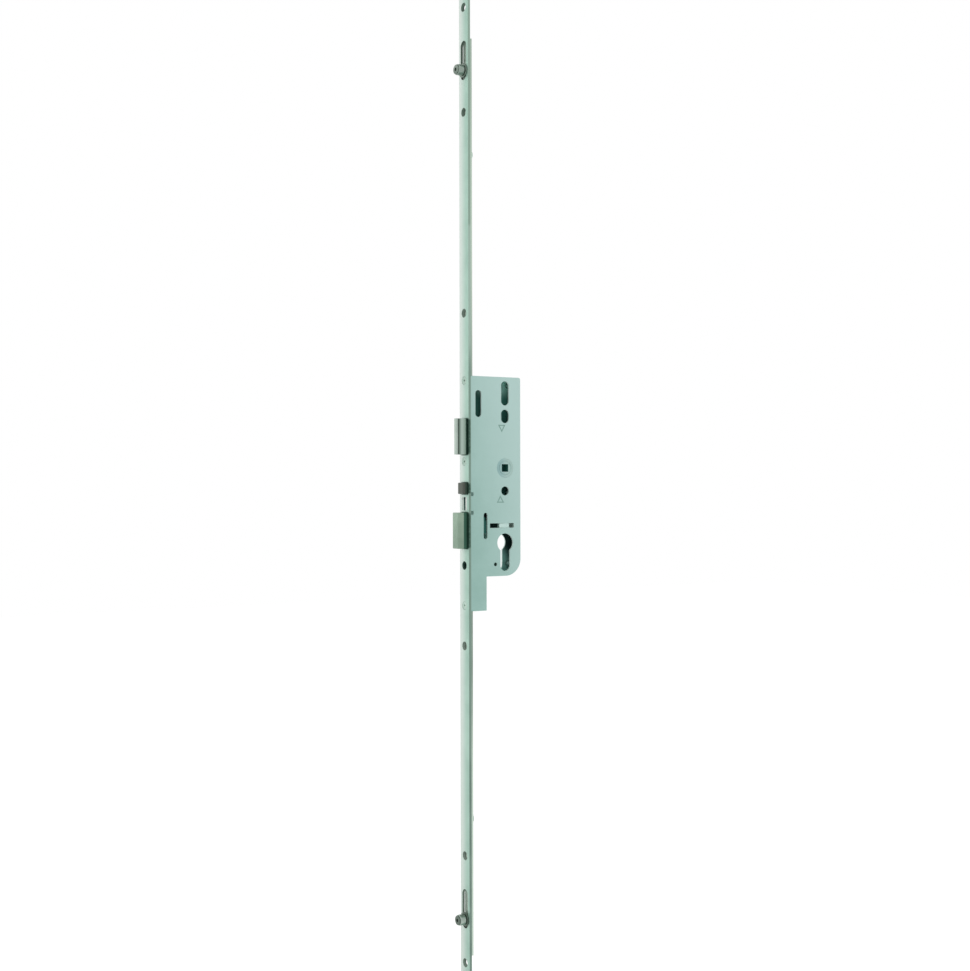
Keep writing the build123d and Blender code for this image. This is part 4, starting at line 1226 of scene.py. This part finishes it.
@dataclass
class RollerPair(SubAssembly):
    """One locking roller and the stud that carries it."""

    name: str
    sides: int = 48
    edge: float = 0.6 * MM
    bore: float = 6.1 * MM
    journal: float = 6.0 * MM
    cap: float = 8.6 * MM
    cap_depth: float = 1.0 * MM
    collar_depth: float = 0.8 * MM
    collar_back: float = -0.3 * MM
    neck: float = 9.4 * MM
    rivet: float = 5.0 * MM
    rod_front: float = 3.2 * MM
    socket: float = 3.0 * MM
    socket_depth: float = 1.6 * MM
    stud_edge: float = 0.25 * MM

    def build(self) -> None:
        """Turn the roller and its stud."""
        self._roller()
        self._stud()

    def _roller(self) -> None:
        """A turned ring with rounded rims."""
        node = f"{self.name}_roller"
        low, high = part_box(node)
        height = (low.z + high.z) / 2
        radius = (high.z - low.z) / 2
        profile = [(low.x, self.bore / 2)]
        profile += rounded(low.x, radius, self.edge, Corner.FRONT)
        profile += rounded(high.x, radius, self.edge, Corner.REAR)
        profile.append((high.x, self.bore / 2))
        ring = spun(profile, height, closed=True, steps=self.sides)
        self.shop.settle(ring, f"{node}_ring", node, "roller_steel", (Finish.ROLLER,), (node,))

    def _stud(self) -> None:
        """The stepped stud: cap with a hexagon socket, journal, collar, neck and riveted end."""
        node = f"{self.name}_roller_stud"
        low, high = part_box(node)
        height = (low.z + high.z) / 2
        collar = (high.z - low.z) / 2
        front = low.x
        flat = self.socket / 2
        deepest = front + self.socket_depth
        journal_x = front + self.cap_depth
        collar_x = self.collar_back - self.collar_depth
        profile = [(deepest, 0.0), (deepest, flat), (front, flat)]
        profile += rounded(front, self.cap / 2, self.stud_edge, Corner.FRONT)
        profile += [
            (journal_x, self.cap / 2), (journal_x, self.journal / 2), (collar_x, self.journal / 2)
        ]
        profile += rounded(collar_x, collar, self.stud_edge, Corner.FRONT)
        profile += [
            (self.collar_back, collar), (self.collar_back, self.neck / 2),
            (self.rod_front, self.neck / 2), (self.rod_front, self.rivet / 2),
            (high.x, self.rivet / 2), (high.x, 0.0),
        ]
        stud = spun(profile, height, closed=False, steps=self.sides)
        for vert in stud.verts:
            self._make_hexagon(vert, height, flat, deepest)
        self.shop.settle(
            stud, f"{self.name}_stepped_stud", "drive_rods", "roller_steel", (Finish.STUD,), (node,)
        )

    @staticmethod
    def _make_hexagon(vert: bmesh.types.BMVert, height: float, flat: float, deepest: float) -> None:
        """Push a point of the round socket out to the hexagon's wall.

        Args:
            vert: the point, moved in place if it is on the socket's wall.
            height: height of the stud's axis.
            flat: half the width across the hexagon's flats.
            deepest: depth of the socket's floor.
        """
        radius = hypot(vert.co.y, vert.co.z - height)
        if vert.co.x > deepest + MERGE_DISTANCE or abs(radius - flat) > MERGE_DISTANCE:
            return
        angle = atan2(vert.co.y, vert.co.z - height)
        sixth = pi / 3
        grown = 1 / cos(angle % sixth - sixth / 2)
        vert.co.y *= grown
        vert.co.z = height + (vert.co.z - height) * grown


@dataclass
class Coil(SubAssembly):
    """A round-wire compression spring."""

    node: str
    wire: float
    turns: int
    axis: Triple
    joint: str
    travel: float
    fixed_high: bool = True
    steps: int = 20
    sides: int = 10

    def build(self) -> None:
        """Wind the wire between the ends of its CAD solid and hang it on the lock's body."""
        low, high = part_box(self.node)
        centre = (low + high) / 2
        along = Vector(self.axis)
        length = abs((high - low).dot(along))
        side = Vector(ACROSS)
        radius = (high.y - low.y) / 2 - self.wire / 2
        rise = length - self.wire
        start = centre - along * rise / 2 + side * radius
        spring = bmesh.new()
        made = bmesh.ops.create_circle(spring, cap_ends=True, segments=self.sides, radius=self.wire / 2)
        turn = Vector((0, 0, 1)).rotation_difference(along.cross(side)).to_matrix()
        bmesh.ops.rotate(spring, verts=made["verts"], matrix=turn)
        bmesh.ops.translate(spring, verts=made["verts"], vec=start)
        count = self.steps * self.turns
        bmesh.ops.spin(
            spring, geom=spring.verts[:] + spring.edges[:] + spring.faces[:], cent=centre, axis=along,
            dvec=along * rise / count, angle=2 * pi * self.turns, steps=count, use_merge=False,
        )
        bmesh.ops.holes_fill(spring, edges=[e for e in spring.edges if e.is_boundary], sides=self.sides)
        bmesh.ops.recalc_face_normals(spring, faces=spring.faces)
        piece = self.shop.settle(
            spring, f"{self.node}_wire", "lock_body", "spring_steel", (Finish.SPRING,), (self.node,)
        )
        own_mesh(piece)


@dataclass
class Follower(SubAssembly):
    """The hub that the handle's spindle turns."""

    edge: float = 0.15 * MM
    square: float = 7.0 * MM
    corner_share: float = 0.72

    def build(self) -> None:
        """Dress the hub as a die casting with its square's walls painted dark as shade."""
        corner = self.square * self.corner_share

        def pick(face: bmesh.types.BMFace) -> Finish:
            """The walls of the square, then the casting."""
            middle = face.calc_center_median()
            reach = hypot(middle.x - BACKSET, middle.z)
            in_square = abs(face.normal.y) < LOOKING and reach < corner
            return Finish.FOLLOWER_SQUARE if in_square else Finish.FOLLOWER

        self.shop.dress(
            "follower_hub", "cast_hub", "follower", "cast_follower",
            (Finish.FOLLOWER, Finish.FOLLOWER_SQUARE), self.edge, pick=pick,
        )


@dataclass
class Latch(SubAssembly):
    """The bevelled latch and the plate behind it."""

    edge: float = 0.45 * MM
    groove_start: float = 1.8 * MM
    groove_width: float = 1.0 * MM
    groove_depth: float = 0.5 * MM

    def build(self) -> None:
        """Dress the latch with rounded edges and a groove with painted shade down its nose."""
        low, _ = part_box("latch_bolt")
        bolt = self.shop.copy("latch_bolt")
        front = low.x + self.groove_start - MERGE_DISTANCE
        rear = low.x + self.groove_start + self.groove_width + MERGE_DISTANCE
        floor = low.y + self.groove_depth + MERGE_DISTANCE

        def outside(edge: bmesh.types.BMEdge) -> bool:
            """Whether an edge lies away from the groove."""
            return not all(front < v.co.x < rear and v.co.y < floor for v in edge.verts)

        def pick(face: bmesh.types.BMFace) -> Finish:
            """The groove, then bright metal."""
            middle = face.calc_center_median()
            in_groove = front < middle.x < rear and low.y + MERGE_DISTANCE < middle.y < floor
            return Finish.BOLT_GROOVE if in_groove else Finish.LATCH

        break_edges(bolt, self.edge, steps=3, pick=outside)
        self.shop.settle(
            bolt, "bevelled_latch", "latch", "latch_metal", (Finish.LATCH, Finish.BOLT_GROOVE),
            ("latch_bolt",), pick,
        )
        self.shop.clad(Finish.INNER, "latch_tail", "latch_rivet")


@dataclass
class Deadbolt(SubAssembly):
    """The square bolt, its tail with the guide lug, and the tumbler over it."""

    edge: float = 0.35 * MM

    def build(self) -> None:
        """Dress the bolt and clad its tail."""
        self.shop.dress(
            "deadbolt_head", "square_bolt", "deadbolt", "deadbolt_metal", (Finish.DEADBOLT,),
            self.edge, steps=3,
        )
        self.shop.clad(Finish.TAIL, "deadbolt_tail", "deadbolt_guide_lug")
        self.shop.clad(Finish.INNER, "deadbolt_rivet", "tumbler")


@dataclass
class Trigger(SubAssembly):
    """The dark plunger between the bolts, and its foot."""

    edge: float = 0.3 * MM

    def build(self) -> None:
        """Dress the plunger and the foot."""
        self.shop.dress(
            "guard_trigger", "guard_plunger", "trigger", "trigger_metal", (Finish.TRIGGER,), self.edge
        )
        # The foot gets the painted light, nearly white, so that it reads lit in its window.
        self.shop.dress(
            "guard_foot", "plunger_foot", "trigger", "trigger_metal", (Finish.FOOT,), self.edge / 2
        )


@dataclass(frozen=True)
class Lamp:
    """One soft square lamp that points at the lock's middle."""

    name: str
    place: Triple
    width: float
    power: float

    def hang(self) -> None:
        """Add the lamp to the scene."""
        data = bpy.data.lights.new(self.name, "AREA")
        data.shape = "SQUARE"
        data.size = self.width
        data.energy = self.power
        lamp = bpy.data.objects.new(self.name, data)
        lamp.location = self.place
        lamp.rotation_euler = (-Vector(self.place)).to_track_quat("-Z", "Y").to_euler()
        bpy.context.scene.collection.objects.link(lamp)


@dataclass
class Studio:
    """A pale floor, white surroundings, soft lamps and the camera."""

    floor_size: float = 8.0
    floor_drop: float = 1.0 * MM
    floor_colour: Colour = (0.82, 0.82, 0.82)
    floor_roughness: float = 0.9
    floor_lift: float = 0.5
    white: Colour = (1.0, 1.0, 1.0)
    ambient: float = 0.62
    azimuth: float = radians(-31.5)
    distance: float = 1.33
    eye_height: float = -16.4 * MM
    aside: float = 19.2 * MM
    view_angle: float = radians(37.37)
    roll: float = radians(0.12)
    sensor: float = 36.0
    nearest: float = 0.05
    farthest: float = 50.0
    lamps: tuple[Lamp, ...] = (
        Lamp("front_lamp", place=(-2.0, 0.9, 0.3), width=1.8, power=12.0),
        Lamp("camera_lamp", place=(-0.4, -2.2, 1.5), width=1.6, power=12.0),
    )

    def build(self) -> None:
        """Set up the whole studio."""
        bpy.context.scene.view_settings.view_transform = "Standard"
        self._world()
        self._floor()
        for lamp in self.lamps:
            lamp.hang()
        self._camera()

    @staticmethod
    def _direct(tree: Tree) -> bpy.types.NodeSocket:
        """One for rays from the camera, a reflection or glass, and zero for the rest."""
        path = tree.add("ShaderNodeLightPath")
        shine = tree.sum("MAXIMUM", path.outputs["Is Glossy Ray"], path.outputs["Is Transmission Ray"])
        return tree.sum("MAXIMUM", path.outputs["Is Camera Ray"], shine)

    def _world(self) -> None:
        """White where it is seen, softer where it only lights."""
        world = bpy.data.worlds.new("studio_white")
        world.use_nodes = True
        bpy.context.scene.world = world
        tree = Tree(world.node_tree)
        sky = world.node_tree.nodes["Background"]
        extra = tree.sum("MULTIPLY", self._direct(tree), 1 - self.ambient)
        tree.join(tree.sum("ADD", extra, self.ambient), sky.inputs["Strength"])
        sky.inputs["Color"].default_value = (*self.white, 1.0)

    def _floor(self) -> None:
        """A plain pale floor just under the strip's foot, which keeps the lock's shadow."""
        low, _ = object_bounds()
        mesh = bmesh.new()
        bmesh.ops.create_grid(mesh, x_segments=1, y_segments=1, size=self.floor_size / 2)
        bmesh.ops.translate(mesh, verts=mesh.verts, vec=(0.0, 0.0, low.z - self.floor_drop))
        data = bpy.data.meshes.new("floor")
        mesh.to_mesh(data)
        mesh.free()
        material = bpy.data.materials.new("pale_floor")
        material.use_nodes = True
        tree = Tree(material.node_tree)
        surface = material.node_tree.nodes["Principled BSDF"]
        surface.inputs["Base Color"].default_value = (*self.floor_colour, 1.0)
        surface.inputs["Roughness"].default_value = self.floor_roughness
        surface.inputs["Specular IOR Level"].default_value = 0.0
        surface.inputs["Emission Color"].default_value = (*self.white, 1.0)
        glow = tree.sum("MULTIPLY", self._direct(tree), self.floor_lift)
        tree.join(glow, surface.inputs["Emission Strength"])
        data.materials.append(material)
        floor = bpy.data.objects.new("floor", data)
        bpy.context.scene.collection.objects.link(floor)
        floor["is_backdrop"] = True

    def _camera(self) -> None:
        """The camera at the angle of the reference view."""
        back = Vector((sin(self.azimuth), -cos(self.azimuth), 0.0))
        right = Vector((cos(self.azimuth), sin(self.azimuth), 0.0))
        data = bpy.data.cameras.new("camera")
        data.sensor_width = self.sensor
        data.lens = self.sensor / 2 / tan(self.view_angle / 2)
        data.clip_start = self.nearest
        data.clip_end = self.farthest
        camera = bpy.data.objects.new("camera", data)
        camera.location = right * self.aside + back * self.distance + Vector((0.0, 0.0, self.eye_height))
        facing = (-back).to_track_quat("-Z", "Y")
        camera.rotation_mode = "QUATERNION"
        camera.rotation_quaternion = Quaternion(back, -self.roll) @ facing
        bpy.context.scene.collection.objects.link(camera)
        bpy.context.scene.camera = camera


def main() -> None:
    """Load the frame, build and dress every sub-assembly, and set up the studio."""
    logging.basicConfig(level=logging.INFO, format="%(name)s: %(message)s")
    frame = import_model()
    shelf = EffectShelf()
    windows = [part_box(name) for name in ("latch_bolt", "guard_trigger", "deadbolt_head")]
    materials = {finish: finish.value.material(shelf, windows) for finish in Finish}
    shop = Workshop(frame["nodes"], materials)
    parts: list[SubAssembly] = [
        Faceplate(shop),
        GearCase(shop),
        Rods(shop),
        RollerPair(shop, "upper"),
        RollerPair(shop, "lower"),
        Follower(shop),
        Latch(shop),
        Deadbolt(shop),
        Trigger(shop),
        Coil(
            shop, "latch_spring", wire=0.9 * MM, turns=4, axis=(1, 0, 0), joint="latch_slide",
            travel=12 * MM,
        ),
        Coil(
            shop, "trigger_spring", wire=0.7 * MM, turns=3, axis=(1, 0, 0), joint="trigger_slide",
            travel=4.5 * MM,
        ),
        Coil(
            shop, "tumbler_spring", wire=0.5 * MM, turns=3, axis=(0, 0, 1), joint="tumbler_slide",
            travel=3 * MM,
        ),
        Coil(
            shop, "follower_spring", wire=0.8 * MM, turns=4, axis=(0, 0, 1), joint="follower_turn",
            travel=9.1 * MM, fixed_high=False,
        ),
    ]
    for part in parts:
        part.build()
    Studio().build()


if __name__ == "__main__":
    main()
